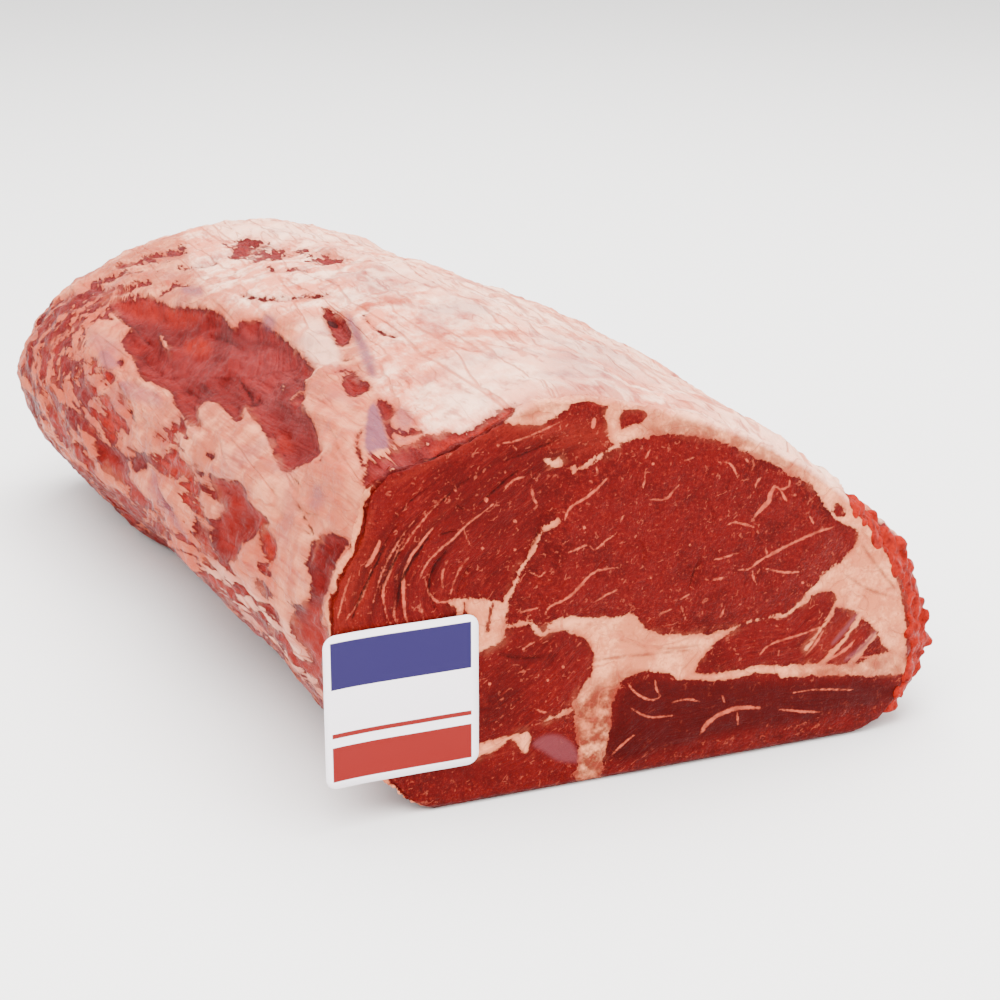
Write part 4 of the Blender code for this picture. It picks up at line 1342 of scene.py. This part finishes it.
    def fat_depth(self, use: Recipe, broad: Socket, fine: Socket) -> Socket:
        """Gives how deep in the fat a place lies, from the drawn patches.

        Args:
            use: the material's recipe.
            broad: wide streaks along the fibres.
            fine: narrow streaks along the fibres.

        Returns:
            Millimetres, above 0 on fat and under 0 on lean.
        """
        ragged = use.swing(use.noise(4.0, 5.0, 0.6), self.ragged * 2)
        depth = use.math("ADD", use.attribute(Layer.FAT.value), ragged)
        mixed = use.math("MULTIPLY", use.attribute(Layer.MIXED.value), 9.0)
        reach = use.math("ADD", mixed, self.streaks * 1.5)
        depth = use.math("ADD", depth, use.swing(broad, reach))
        return use.math("ADD", depth, use.swing(fine, self.streaks))

    def crease_share(self, use: Recipe) -> Socket:
        """Gives where thin creases run through the fat.

        Args:
            use: the material's recipe.

        Returns:
            0 away from a crease and 1 in one.
        """
        long = use.squeezed(self.fold)
        wide = use.math("ABSOLUTE", use.math("SUBTRACT", use.noise(13.0, 1.2, 0.45, long), 0.5))
        thin = use.math("ABSOLUTE", use.math("SUBTRACT", use.noise(7.0, 1.2, 0.45, long), 0.52))
        here = use.ramp(use.noise(16.0, 2.0, 0.5), 0.42, 0.6)
        lines = use.math("MULTIPLY", use.ramp(thin, 0.016, 0.002), here)
        return use.math("MAXIMUM", use.ramp(wide, 0.026, 0.004), use.math("MULTIPLY", lines, 0.8))

    def thread_share(self, use: Recipe) -> Socket:
        """Gives where thin pale threads show: the drawn veins, and short strands of fine marbling.

        Args:
            use: the material's recipe.

        Returns:
            0 on none and 1 on a thick one.
        """
        wander = use.swing(use.noise(1.6, 3.0, 0.65), 0.55)
        thread = use.ramp(use.math("ADD", use.attribute(Layer.VEIN.value), wander), -0.15, 0.3)
        worn = use.ramp(use.noise(3.0, 3.0, 0.6), 0.3, 0.6)
        veins = use.math("MULTIPLY", thread, use.math("ADD", 0.45, use.math("MULTIPLY", worn, 0.5)))
        shift = add_node(
            use.tree, "TexNoise", {"Vector": use.place, "Scale": 1.0 / (4.0 * MM), "Detail": 3.0})
        bent = add_node(use.tree, "VectorMath", {0: shift.outputs["Color"], 1: (0.004, 0.004, 0.004)},
                        operation="MULTIPLY").outputs[0]
        moved = add_node(use.tree, "VectorMath", {0: use.place, 1: bent}, operation="ADD").outputs[0]
        leant = add_node(use.tree, "Mapping", {
            "Vector": moved, "Rotation": (0.0, -math.radians(self.slope), 0.0), "Scale": (2.4, 1.0, 1.0)},
            vector_type="TEXTURE").outputs[0]
        long = use.ramp(use.cells(3.2, leant, "DISTANCE_TO_EDGE"), 0.07, 0.015)
        long = use.math("MULTIPLY", long, use.ramp(use.noise(3.2, 2.0, 0.5), 0.6, 0.66))
        short = use.ramp(use.cells(1.5, leant, "DISTANCE_TO_EDGE"), 0.14, 0.03)
        short = use.math("MULTIPLY", short, use.ramp(use.noise(1.7, 2.0, 0.5), 0.61, 0.68))
        strands = use.math("MAXIMUM", long, use.math("MULTIPLY", short, 0.7))
        strands = use.math("MULTIPLY", strands, use.ramp(use.attribute(Layer.DEEP.value), 1.3, 0.3))
        return use.math("MAXIMUM", veins, use.math("MULTIPLY", strands, self.threads))

    def lean_colour(self, use: Recipe, broad: Socket, fine: Socket, depth: Socket) -> Socket:
        """Gives the colour of the muscle, with a painted shadow on it beside raised fat.

        Args:
            use: the material's recipe.
            broad: wide streaks along the fibres.
            fine: narrow streaks along the fibres.
            depth: how deep in the fat a place lies.

        Returns:
            The colour.
        """
        blotch = use.math("MULTIPLY", use.noise(20.0, 3.0, 0.5), 0.5)
        tone = use.math("ADD", blotch, use.math("MULTIPLY", broad, 0.5))
        colour = use.tint(linear(self.lean), use.ramp(tone, 0.56, 0.36), self.mottle, self.lean_dark)
        colour = use.tint(colour, use.attribute(Layer.BLOOM.value), use.ramp(fine, 0.25, 0.6), self.bloom)
        # the torn lean's brighter red, also laid as painted light and highlights
        colour = use.tint(colour, use.attribute(Layer.GLOW.value), 0.85, self.torn)
        bundle = add_node(use.tree, "TexVoronoi", {
            "Vector": use.squeezed(self.run), "Scale": 1.0 / (self.bundle * MM)})
        tints = add_node(use.tree, "SeparateXYZ", {0: bundle.outputs["Color"]}).outputs
        colour = use.tint(colour, use.ramp(tints[0], 0.45, 1.0), 0.22, self.lean_dark)
        colour = use.tint(colour, use.ramp(fine, 0.5, 0.72), 0.55, self.lean_bright)
        colour = use.tint(colour, use.ramp(fine, 0.46, 0.28), 0.6, self.lean_dark)
        grit = use.noise(0.9, 3.0, 0.65)
        colour = use.tint(colour, use.ramp(grit, 0.55, 0.72), 0.5, self.lean_bright)
        colour = use.tint(colour, use.ramp(grit, 0.42, 0.3), 0.5, self.lean_dark)
        # darker muscles, and painted shade in valleys, folds and under raised edges
        colour = use.tint(colour, use.attribute(Layer.DEEP.value), 0.8, self.lean_dark)
        # painted shadow: the lean darkens beside raised fat
        return use.tint(colour, use.ramp(depth, -1.8, -0.2), self.step * 0.55, self.lean_dark)

    def fat_colour(self, use: Recipe, broad: Socket, fine: Socket, crease: Socket) -> Socket:
        """Gives the colour of the fat.

        Args:
            use: the material's recipe.
            broad: wide streaks along the fibres.
            fine: narrow streaks along the fibres.
            crease: where creases run.

        Returns:
            The colour.
        """
        pale = use.ramp(use.math("ADD", use.noise(14.0, 4.0, 0.6), use.swing(fine, 0.15)), 0.4, 0.66)
        low = use.colour(pale, linear(self.fat), linear(self.fat_pale))
        high = use.colour(pale, linear(self.cap), linear(self.cap_pale))
        colour = use.colour(use.attribute(Layer.CAP.value), low, high)
        colour = use.tint(colour, use.attribute(Layer.WARM.value), use.ramp(broad, 0.25, 0.6), self.fat_warm)
        colour = use.tint(colour, use.attribute(Layer.PALE.value), 0.85, self.pale)
        # painted shade: the creases are darkened, and also sunk by the bump
        colour = use.tint(colour, crease, self.creased, self.crease)
        stained = use.math("MULTIPLY", use.ramp(broad, 0.52, 0.7), self.stain)
        near = use.math("MULTIPLY", use.ramp(use.attribute(Layer.FAT.value), 1.8, -0.5), 0.5)
        colour = use.colour(use.math("MAXIMUM", stained, near), colour, linear(self.blood))
        lilac = use.ramp(use.noise(22.0, 2.0, 0.5), 0.55, 0.7)
        return use.tint(colour, lilac, self.stain * 0.5, self.film)


CUT_BEEF = MeatFinish(
    "cut_beef", lean="570605", lean_dark="340101", lean_bright="7a1e14", fat="c26c4a", fat_pale="e8946a",
    fat_warm="702e1e", thread="b04e38", film="6a3035", blood="8a281d", crack_shade="240302", threads=0.42)
BEEF_SIDE = MeatFinish(
    "beef_side", lean="670e0c", lean_dark="400404", lean_bright="821d18", fat="a8543c", fat_pale="d07e5c",
    fat_warm="b8563a", thread="a05050", film="76404a", blood="983020", torn="981808", bloom="722222",
    cap="de8062", cap_pale="ffc6a8", crack_shade="280404", run=(1.0, 0.3, 1.0), fold=(1.0, 0.11, 1.0), sweep=0.26,
    bundle=2.0, threads=0.04, stain=0.6, streaks=1.1, step=1.2, creased=0.65, veiled=0.55, mottle=0.8)


@dataclass(frozen=True)
class LabelFinish:
    """Coated paper with plain fields of blue and red print. It gives the eye a clean, slightly glossy card.

    Attributes:
        middle: the label's middle across and up, in metres.
        side: its side, in metres.
        printed: how far the print reaches, as a share of half the side, as are the next four.
        blue_foot: where the blue field ends.
        red_top: where the red field begins.
        line_up: where the thin line lies.
        line_half: half its width.
        blur: half the softness of each printed edge.
    """

    middle: tuple[float, float]
    side: float
    printed: float = 0.9
    blue_foot: float = 0.3
    red_top: float = -0.45
    line_up: float = -0.3
    line_half: float = 0.03
    blur: float = 0.001
    name: str = "coated_paper"
    paper: str = "f6eef3"
    blue: str = "231a49"
    red: str = "771411"

    def build(self) -> bpy.types.Material:
        """Makes the material."""
        finish = bpy.data.materials.new(self.name)
        finish.use_nodes = True
        tree = finish.node_tree
        tree.nodes.clear()
        use = Recipe(tree)
        shift = (-self.middle[0], 0.0, -self.middle[1])
        centred = add_node(tree, "Mapping", {"Vector": use.place, "Location": shift}).outputs[0]
        parts = add_node(tree, "SeparateXYZ", {0: centred}).outputs
        across = use.math("DIVIDE", parts[0], self.side / 2)
        up = use.math("DIVIDE", parts[2], self.side / 2)
        outwards = use.math("MAXIMUM", use.math("ABSOLUTE", across), use.math("ABSOLUTE", up))
        inside = use.ramp(outwards, self.printed + 0.01, self.printed)
        blue = use.ramp(up, self.blue_foot - self.blur, self.blue_foot + self.blur)
        red = use.ramp(up, self.red_top + self.blur, self.red_top - self.blur)
        away = use.math("ABSOLUTE", use.math("SUBTRACT", up, self.line_up))
        line = use.ramp(away, self.line_half + self.blur, self.line_half - self.blur)
        colour = use.tint(linear(self.paper), blue, inside, self.blue)
        colour = use.tint(colour, red, inside, self.red)
        colour = use.tint(colour, line, inside, self.red)
        fibre = use.noise(0.6, 3.0, 0.6)
        bump = add_node(tree, "Bump", {"Strength": 0.05, "Distance": 0.0003, "Height": fibre})
        shader = add_node(tree, "BsdfPrincipled", {
            "Base Color": colour, "Roughness": 0.45, "Normal": bump.outputs[0], "IOR": 1.3,
            "Specular IOR Level": 0.3})
        add_node(tree, "OutputMaterial", {"Surface": shader.outputs[0]})
        return finish


# The pieces


@dataclass(frozen=True)
class Heights:
    """How far the parts of the relief stand up from a surface, in millimetres.

    Attributes:
        fat: half the step from lean to fat.
        swells: the broad swells.
        knots: the small lumps.
        fibres: the ridges beside a guide.
        cracks: the depth of cracks and folds.
    """

    fat: float
    swells: float
    knots: float
    fibres: float
    cracks: float


SKIN_HEIGHTS = Heights(fat=0.9, swells=1.2, knots=0.7, fibres=0.8, cracks=1.3)
CUT_HEIGHTS = Heights(fat=0.15, swells=0.25, knots=0.22, fibres=0.3, cracks=1.0)


@dataclass
class Roast:
    """The roast: its cut face and its skin, cut from the same solid.

    Attributes:
        node: the solid of the frame.
        view: the photograph's camera.
        face_place: how far along the roast the cut face lies, in metres.
        split: how far behind the cut face the skin takes over, in metres.
        lap: how far the face reaches into the skin, in metres.
        middle: where the skin's front piece meets its rear piece, in metres.
        lip_depth: how far behind the cut the torn lip ends, in millimetres.
        lip_start: how far to the right it begins, in millimetres.
        lip_rise: how far the torn lip stands up, in millimetres.
        lip_crags: the height of its crags, in millimetres.
        lean_sink: how far broad lean is sunk in the skin, in millimetres.
        base_turn: how far down the meat looks where its base begins.
        base_mixed: how strongly fat and lean mix on the base.
        base_lean: how far on the lean side the base lies, in millimetres.
        rib_spacing: how far apart the ribs' traces lie, in millimetres.
        cap_foot: how high the cap's fat begins on the hidden side, in millimetres.
        cap_slope: how the lower edge of the fat cap falls from left to right.
        cap_band: the height over which the cap's colour comes in, in millimetres.
        face_voxel: the size of the face's first net, in metres.
        skin_voxel: the size of the skin's first net, in metres.
    """

    node: bpy.types.Object
    view: PhotoView
    face_place: float = -0.196
    split: float = 0.003
    lap: float = 0.0006
    middle: float = -0.03
    lip_depth: tuple[float, float] = (10.0, 14.0)
    lip_start: tuple[float, float] = (80.0, 91.0)
    lip_rise: float = 2.4
    lip_crags: float = 1.9
    lean_sink: float = 2.0
    base_turn: tuple[float, float] = (0.25, 0.7)
    base_mixed: float = 0.7
    base_lean: float = 1.2
    rib_spacing: float = 44.0
    cap_foot: float = 78.0
    cap_slope: float = 0.35
    cap_band: tuple[float, float] = (68.0, 92.0)
    face_voxel: float = 0.0022
    skin_voxel: float = 0.0021

    def paint(self, mesh: bpy.types.Mesh) -> Canvas:
        """Finds what shows at each vertex.

        Args:
            mesh: the piece's mesh.

        Returns:
            The canvas with all layers.
        """
        points, normals = mesh_points(mesh), mesh_normals(mesh)
        pixels, scale = self.view.project(points)
        skin = Canvas(pixels, scale, REACH)
        skin.draw(SIDE_PATCHES, SIDE_STROKES)
        skin.comb((SKIN_GUIDE,))
        hidden = self.hidden_side(points, pixels, scale)
        seen = smoothstep(self.view.facing(points, normals), 0.0, 0.2)
        skin = blended(hidden, skin, seen)
        lip = self.lip(points)
        under = smoothstep(-normals[:, 2], *self.base_turn)
        layers = skin.layers
        layers[Layer.MIXED] = np.maximum(layers[Layer.MIXED], self.base_mixed * under)
        fat = layers[Layer.FAT] * (1.0 - under) - self.base_lean * under - 2.0 * REACH * lip
        layers[Layer.FAT] = np.clip(fat, -REACH, REACH)
        layers[Layer.MIXED] *= 1.0 - lip
        layers[Layer.FILM] *= 1.0 - lip
        layers[Layer.GLOW] = np.maximum(layers[Layer.GLOW], lip)
        far = Canvas(points[:, [0, 2]] / MM, np.ones(len(points)), REACH)
        far.draw(FAR_PATCHES, FAR_STROKES)
        skin = blended(skin, far, smoothstep(normals[:, 1], 0.75, 0.95))
        if points[:, 1].min() > self.face_place + self.split / 2:
            return skin
        face = Canvas(pixels, scale, -REACH)
        face.draw(FACE_PATCHES, FACE_STROKES)
        face.comb(FACE_GUIDES)
        return blended(skin, face, smoothstep(-normals[:, 1], 0.5, 0.8))

    def lip(self, points: np.ndarray) -> np.ndarray:
        """Gives where the torn lip stands, just behind the right edge of the cut face.

        Args:
            points: the vertices, in metres.

        Returns:
            1 on the lip and 0 away from it.
        """
        across, along, up = (points / MM).T
        behind = along - self.face_place / MM
        wander = noise_field(points / MM, 9.0, 3.0)
        deep = 1.0 - smoothstep(behind + 5.0 * wander, *self.lip_depth)
        return deep * smoothstep(across + 4.0 * wander, *self.lip_start) * smoothstep(up, 1.0, 6.0)

    def hidden_side(self, points: np.ndarray, pixels: np.ndarray, scale: np.ndarray) -> Canvas:
        """Lays lean between the ribs' traces on the side and base that the photograph doesn't show.

        Args:
            points: the vertices, in metres.
            pixels: where they stand in the photograph.
            scale: the millimetres of a pixel there.

        Returns:
            The canvas with its layers.
        """
        hidden = Canvas(pixels, scale, 0.0)
        layers = hidden.layers
        across, along, up = (points / MM).T
        sway = noise_field(points / MM, 70.0, 9.0, 2)
        ribs = np.cos(2 * math.pi * (along + 0.25 * across + 26.0 * sway) / self.rib_spacing)
        rough = noise_field(points / MM * np.array([1.0, 0.5, 1.0]), 26.0, 5.0)
        streak = noise_field(points / MM * np.array([0.35, 1.0, 0.35]), 8.0, 15.0)
        cap = (up - self.cap_foot) / 8.0
        low = 2.0 * ribs + 6.0 * rough + 3.0 * streak - 1.6
        layers[Layer.FAT] = np.clip(np.maximum(low, cap + 5.0 * rough), -REACH, REACH)
        layers[Layer.MIXED] += 0.35
        layers[Layer.CAP] = smoothstep(up + self.cap_slope * across, *self.cap_band)
        layers[Layer.FILM] = smoothstep(ribs * (0.7 + rough), 0.5, 1.0) * smoothstep(-cap, 0.0, 2.0) * 0.6
        layers[Layer.BLOOM] = smoothstep(sway + 0.3 * streak, -0.3, 0.4) * 0.8
        layers[Layer.DEEP] = smoothstep(-streak, 0.1, 0.6) * 0.6
        layers[Layer.WARM] = smoothstep(rough, 0.0, 0.5) * 0.4
        return hidden

    def relief(self, mesh: bpy.types.Mesh, canvas: Canvas) -> None:
        """Raises fat, sinks lean and cracks, and roughens the surface.

        Args:
            mesh: the piece's mesh.
            canvas: what shows on it.
        """
        points, normals = mesh_points(mesh), mesh_normals(mesh)
        on_face = smoothstep(-normals[:, 1], 0.5, 0.8)
        fat = np.tanh(canvas.layers[Layer.FAT] / 1.6)
        swells = noise_field(points / MM * np.array([1.0, 0.6, 1.0]), 14.0, 1.0)
        knots = noise_field(points / MM * np.array([1.0, 0.5, 1.0]), 4.5, 7.0, 4)
        sunk = smoothstep(-canvas.layers[Layer.FAT], 0.5, 6.0)
        lip = self.lip(points)
        across, along, combed = canvas.grain.T
        strands = np.stack([across, along * 0.15, np.zeros(len(points))], axis=1)
        fibres = noise_field(strands, 4.0, 2.0) * combed
        crags = noise_field(points / MM, 3.4, 11.0, 4) * lip
        height = self.lip_rise * lip - self.lean_sink * sunk + self.lip_crags * crags
        height *= 1 - on_face
        for part, share in ((SKIN_HEIGHTS, 1 - on_face), (CUT_HEIGHTS, on_face)):
            raised = part.fat * fat + part.swells * swells + part.knots * knots + part.fibres * fibres
            height += (raised - part.cracks * canvas.layers[Layer.SHADED_HOLLOW]) * share
        rest = smoothstep(points[:, 2], 0.0, 0.008)
        moved = points + normals * (height * rest * MM)[:, None]
        moved[:, 2] = np.maximum(moved[:, 2], 0.0)
        mesh.vertices.foreach_set("co", moved.ravel())
        mesh.update()

    def dress(self, piece: bpy.types.Object) -> None:
        """Paints and shapes a piece, while its rims are still open.

        Args:
            piece: the piece.
        """
        canvas = self.paint(piece.data)
        self.relief(piece.data, canvas)
        for layer in Layer:
            if layer is not Layer.LEAN:
                set_attribute(piece.data, layer.value, canvas.layers[layer])
        for name, column in zip(("across", "along", "combed"), canvas.grain.T):
            set_attribute(piece.data, name, column if name == "combed" else column * MM)

    def keep(self, name: str, bm: bmesh.types.BMesh, finish: bpy.types.Material) -> bpy.types.Object:
        """Closes a dressed mesh and puts it in the frame.

        Args:
            name: the piece's name.
            bm: its mesh, freed here.
            finish: its material.

        Returns:
            The piece.
        """
        close_rims(bm)
        piece = new_object(name, bm, finish, False)
        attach(piece, "root")
        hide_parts(self.node.name)
        LOG.info("%s: %d faces", piece.name, len(piece.data.polygons))
        return piece

    def build_face(self, finish: bpy.types.Material) -> bpy.types.Object:
        """Builds the cut face with its rim."""
        bm = evened(self.node, self.face_voxel)
        trimmed(bm, self.face_place + self.split + self.lap, True)
        front = [face for face in bm.faces if face.normal.y < -0.35]
        refined(bm, front, 3, 4)
        whole = new_object("face_draft", bm, finish)
        self.dress(whole)
        bm = bmesh.new()
        bm.from_mesh(whole.data)
        bpy.data.objects.remove(whole)
        return self.keep("cut_face", bm, finish)

    def build_skin(self, finish: bpy.types.Material) -> tuple[bpy.types.Object, bpy.types.Object]:
        """Builds everything behind the cut face, in a front and a rear piece."""
        bm = evened(self.node, self.skin_voxel)
        trimmed(bm, self.face_place + self.split, False)
        place = Vector(self.view.place)
        shown = [f for f in bm.faces if f.normal.dot(place - f.calc_center_median()) > 0.02]
        refined(bm, shown, 1, 2)
        whole = new_object("skin_draft", bm, finish)
        self.dress(whole)
        pieces = []
        for name, is_front in (("roast_body", True), ("roast_rear", False)):
            half = bmesh.new()
            half.from_mesh(whole.data)
            trimmed(half, self.middle, is_front)
            pieces.append(self.keep(name, half, finish))
        bpy.data.objects.remove(whole)
        return pieces[0], pieces[1]


@dataclass
class CrumblyLip:
    """Small torn crumbs of lean along the right edge of the cut.

    Attributes:
        roast: the roast that they hang on.
        count: how many crumbs hang on the skin.
        rim_count: how many lie on the rim of the cut face.
        radius: the smallest and largest radius in metres.
        stretch: the smallest and largest stretch of a crumb along its axes.
        sunk: how deep a crumb is sunk, as a share of its radius.
        rough: how far its surface wanders, as a share of its radius.
        grain: the size of that wandering in metres.
        voxel: the size of the faces of the mass that they join into, in metres.
        seed: fixes their places.
    """

    roast: Roast
    count: int = 270
    rim_count: int = 70
    radius: tuple[float, float] = (0.0011, 0.0032)
    stretch: tuple[float, float] = (0.55, 1.3)
    sunk: float = 0.35
    rough: float = 0.38
    grain: float = 0.0026
    voxel: float = 0.00065
    seed: int = 7

    def crumb(
        self, bm: bmesh.types.BMesh, place: np.ndarray, normal: np.ndarray, chance: np.random.Generator
    ) -> None:
        """Adds one crumb, sunk a little in the meat.

        Args:
            bm: the mesh that takes it.
            place: where it sits, in metres.
            normal: the meat's normal there.
            chance: gives its size, turn and shape.
        """
        size = chance.uniform(*self.radius)
        turn = Matrix.Rotation(chance.uniform(0, 2 * math.pi), 4, Vector(chance.normal(size=3)).normalized())
        shape = Matrix.Diagonal((*(size * chance.uniform(*self.stretch, size=3)), 1.0))
        middle = Vector(place) - Vector(normal) * size * self.sunk
        made = bmesh.ops.create_icosphere(
            bm, subdivisions=2, radius=1.0, matrix=Matrix.Translation(middle) @ turn @ shape)
        for vert in made["verts"]:
            bump = noise.fractal(vert.co / self.grain, 0.9, 2.0, 2)
            vert.co = middle + (vert.co - middle) * (1.0 + self.rough * bump)

    def build(
        self, skin: bpy.types.Object, face: bpy.types.Object, finish: bpy.types.Material
    ) -> bpy.types.Object:
        """Builds the crumbs, joined into one torn mass.

        Args:
            skin: the roast's skin, which they sit in.
            face: the cut face, which some of them cross.
            finish: their material.

        Returns:
            The piece.
        """
        chance = np.random.default_rng(self.seed)
        bm = bmesh.new()
        for meat, count, turned in ((skin, self.count, -1.1), (face, self.rim_count, -0.8)):
            points, normals = mesh_points(meat.data), mesh_normals(meat.data)
            held = (self.roast.lip(points) > 0.5) & (points[:, 2] > 0.006)
            held &= (normals[:, 1] > turned) & (normals[:, 1] < 0.7)
            for place in chance.choice(np.nonzero(held)[0], size=count, replace=False):
                self.crumb(bm, points[place], normals[place], chance)
        loose = new_object("crumbs_draft", bm, finish)
        bm = evened(loose, self.voxel)
        bpy.data.objects.remove(loose)
        smoothed(bm, 1)
        piece = new_object("crumbly_lip", bm, finish)
        points = mesh_points(piece.data)
        shaded = smoothstep(noise_field(points / MM, 3.0, 21.0), 0.1, 0.7) * 0.7
        lean, torn = np.full(len(points), -REACH), np.ones(len(points))
        looks = {Layer.FAT: lean, Layer.VEIN: lean, Layer.GLOW: torn, Layer.DEEP: shaded}
        for layer, values in looks.items():
            set_attribute(piece.data, layer.value, values)
        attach(piece, "root")
        LOG.info("%s: %d faces", piece.name, len(piece.data.polygons))
        return piece


@dataclass
class PaperLabel:
    """The small square label that clings to the cut face.

    Attributes:
        node: the solid of the frame.
        cells: the number of faces along one side.
        corner: the rounding of its corners, in metres.
        lift: how far its free edge stands off the meat, in metres.
        ripple: the height of its slight waves, in metres.
        thickness: the card's thickness, in metres.
    """

    node: bpy.types.Object
    cells: int = 20
    corner: float = 0.004
    lift: float = 0.0016
    ripple: float = 0.0002
    thickness: float = 0.0003

    def build(self) -> bpy.types.Object:
        """Builds the label."""
        low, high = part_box(self.node.name)
        middle = (low + high) / 2
        side = high.x - low.x
        finish = LabelFinish((middle.x, middle.z), side).build()
        bm = bmesh.new()
        place = Matrix.Translation((middle.x, low.y + 0.0001, middle.z))
        upright = Matrix.Rotation(math.radians(90), 4, "X")
        bmesh.ops.create_grid(bm, x_segments=1, y_segments=1, size=side / 2, matrix=place @ upright)
        bmesh.ops.bevel(
            bm, geom=bm.verts[:], offset=self.corner, segments=5, profile=0.5, affect="VERTICES", material=-1)
        for axis in (Vector((1, 0, 0)), Vector((0, 0, 1))):
            for step in range(1, self.cells):
                along = side * (step / self.cells - 0.5)
                bmesh.ops.bisect_plane(
                    bm, geom=bm.verts[:] + bm.edges[:] + bm.faces[:], plane_co=middle + axis * along,
                    plane_no=axis)
        for vert in bm.verts:
            share = (middle.x - vert.co.x) / (side / 2)
            wave = noise.noise(vert.co * 60.0)
            vert.co.y -= self.lift * max(0.0, share) ** 3 + self.ripple * wave
        bmesh.ops.solidify(bm, geom=bm.faces[:], thickness=self.thickness)
        bmesh.ops.recalc_face_normals(bm, faces=bm.faces)
        label = new_object("label", bm, finish)
        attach(label, "root")
        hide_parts(self.node.name)
        LOG.info("%s: %d faces", label.name, len(label.data.polygons))
        return label


@dataclass
class Studio:
    """The pale floor, the soft lights and the camera.

    Attributes:
        view: the photograph's camera.
        floor_side: the side of the floor in metres.
        floor_colour: its colour.
        room_light: the strength of the light from all around.
    """

    view: PhotoView
    floor_side: float = 6.0
    floor_colour: str = "f4f2f0"
    room_light: float = 1.5

    def light(self, name: str, place: tuple[float, float, float], size: float, power: float) -> None:
        """Hangs one soft light that looks at the roast.

        Args:
            name: its name.
            place: where it hangs, in metres.
            size: its side in metres.
            power: its power in watts.
        """
        data = bpy.data.lights.new(name, "AREA")
        data.size = size
        data.energy = power
        lamp = bpy.data.objects.new(name, data)
        aim = Vector((0.0, 0.0, 0.05)) - Vector(place)
        lamp.matrix_world = Matrix.Translation(place) @ aim.to_track_quat("-Z", "Y").to_matrix().to_4x4()
        bpy.context.scene.collection.objects.link(lamp)

    def build(self) -> None:
        """Builds the floor, the lights and the camera."""
        finish = bpy.data.materials.new("pale_floor")
        finish.use_nodes = True
        tree = finish.node_tree
        tree.nodes.clear()
        shader = add_node(
            tree, "BsdfPrincipled", {"Base Color": linear(self.floor_colour), "Roughness": 0.8})
        add_node(tree, "OutputMaterial", {"Surface": shader.outputs[0]})
        bm = bmesh.new()
        bmesh.ops.create_grid(bm, x_segments=8, y_segments=8, size=self.floor_side / 2)
        new_object("floor", bm, finish)
        world = bpy.data.worlds.new("soft_room")
        world.use_nodes = True
        background = world.node_tree.nodes["Background"]
        background.inputs["Color"].default_value = linear("ffffff")
        background.inputs["Strength"].default_value = self.room_light
        bpy.context.scene.world = world
        self.light("key", (-0.7, -0.9, 1.5), 1.2, 60.0)
        self.light("top", (0.3, 0.3, 1.7), 1.6, 80.0)
        self.light("fill", (0.9, -1.3, 0.8), 1.4, 22.0)
        self.view.build()
        LOG.info("studio ready")


def main() -> None:
    """Builds the studio and the dressed roast in the frame."""
    logging.basicConfig(level=logging.INFO, format="%(message)s")
    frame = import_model()
    view = PhotoView()
    Studio(view).build()
    roast = Roast(frame["nodes"]["rib_roast"], view)
    face = roast.build_face(CUT_BEEF.build())
    skin_finish = BEEF_SIDE.build()
    skin = roast.build_skin(skin_finish)[0]
    CrumblyLip(roast).build(skin, face, skin_finish)
    PaperLabel(frame["nodes"]["paper_label"]).build()


if __name__ == "__main__":
    main()
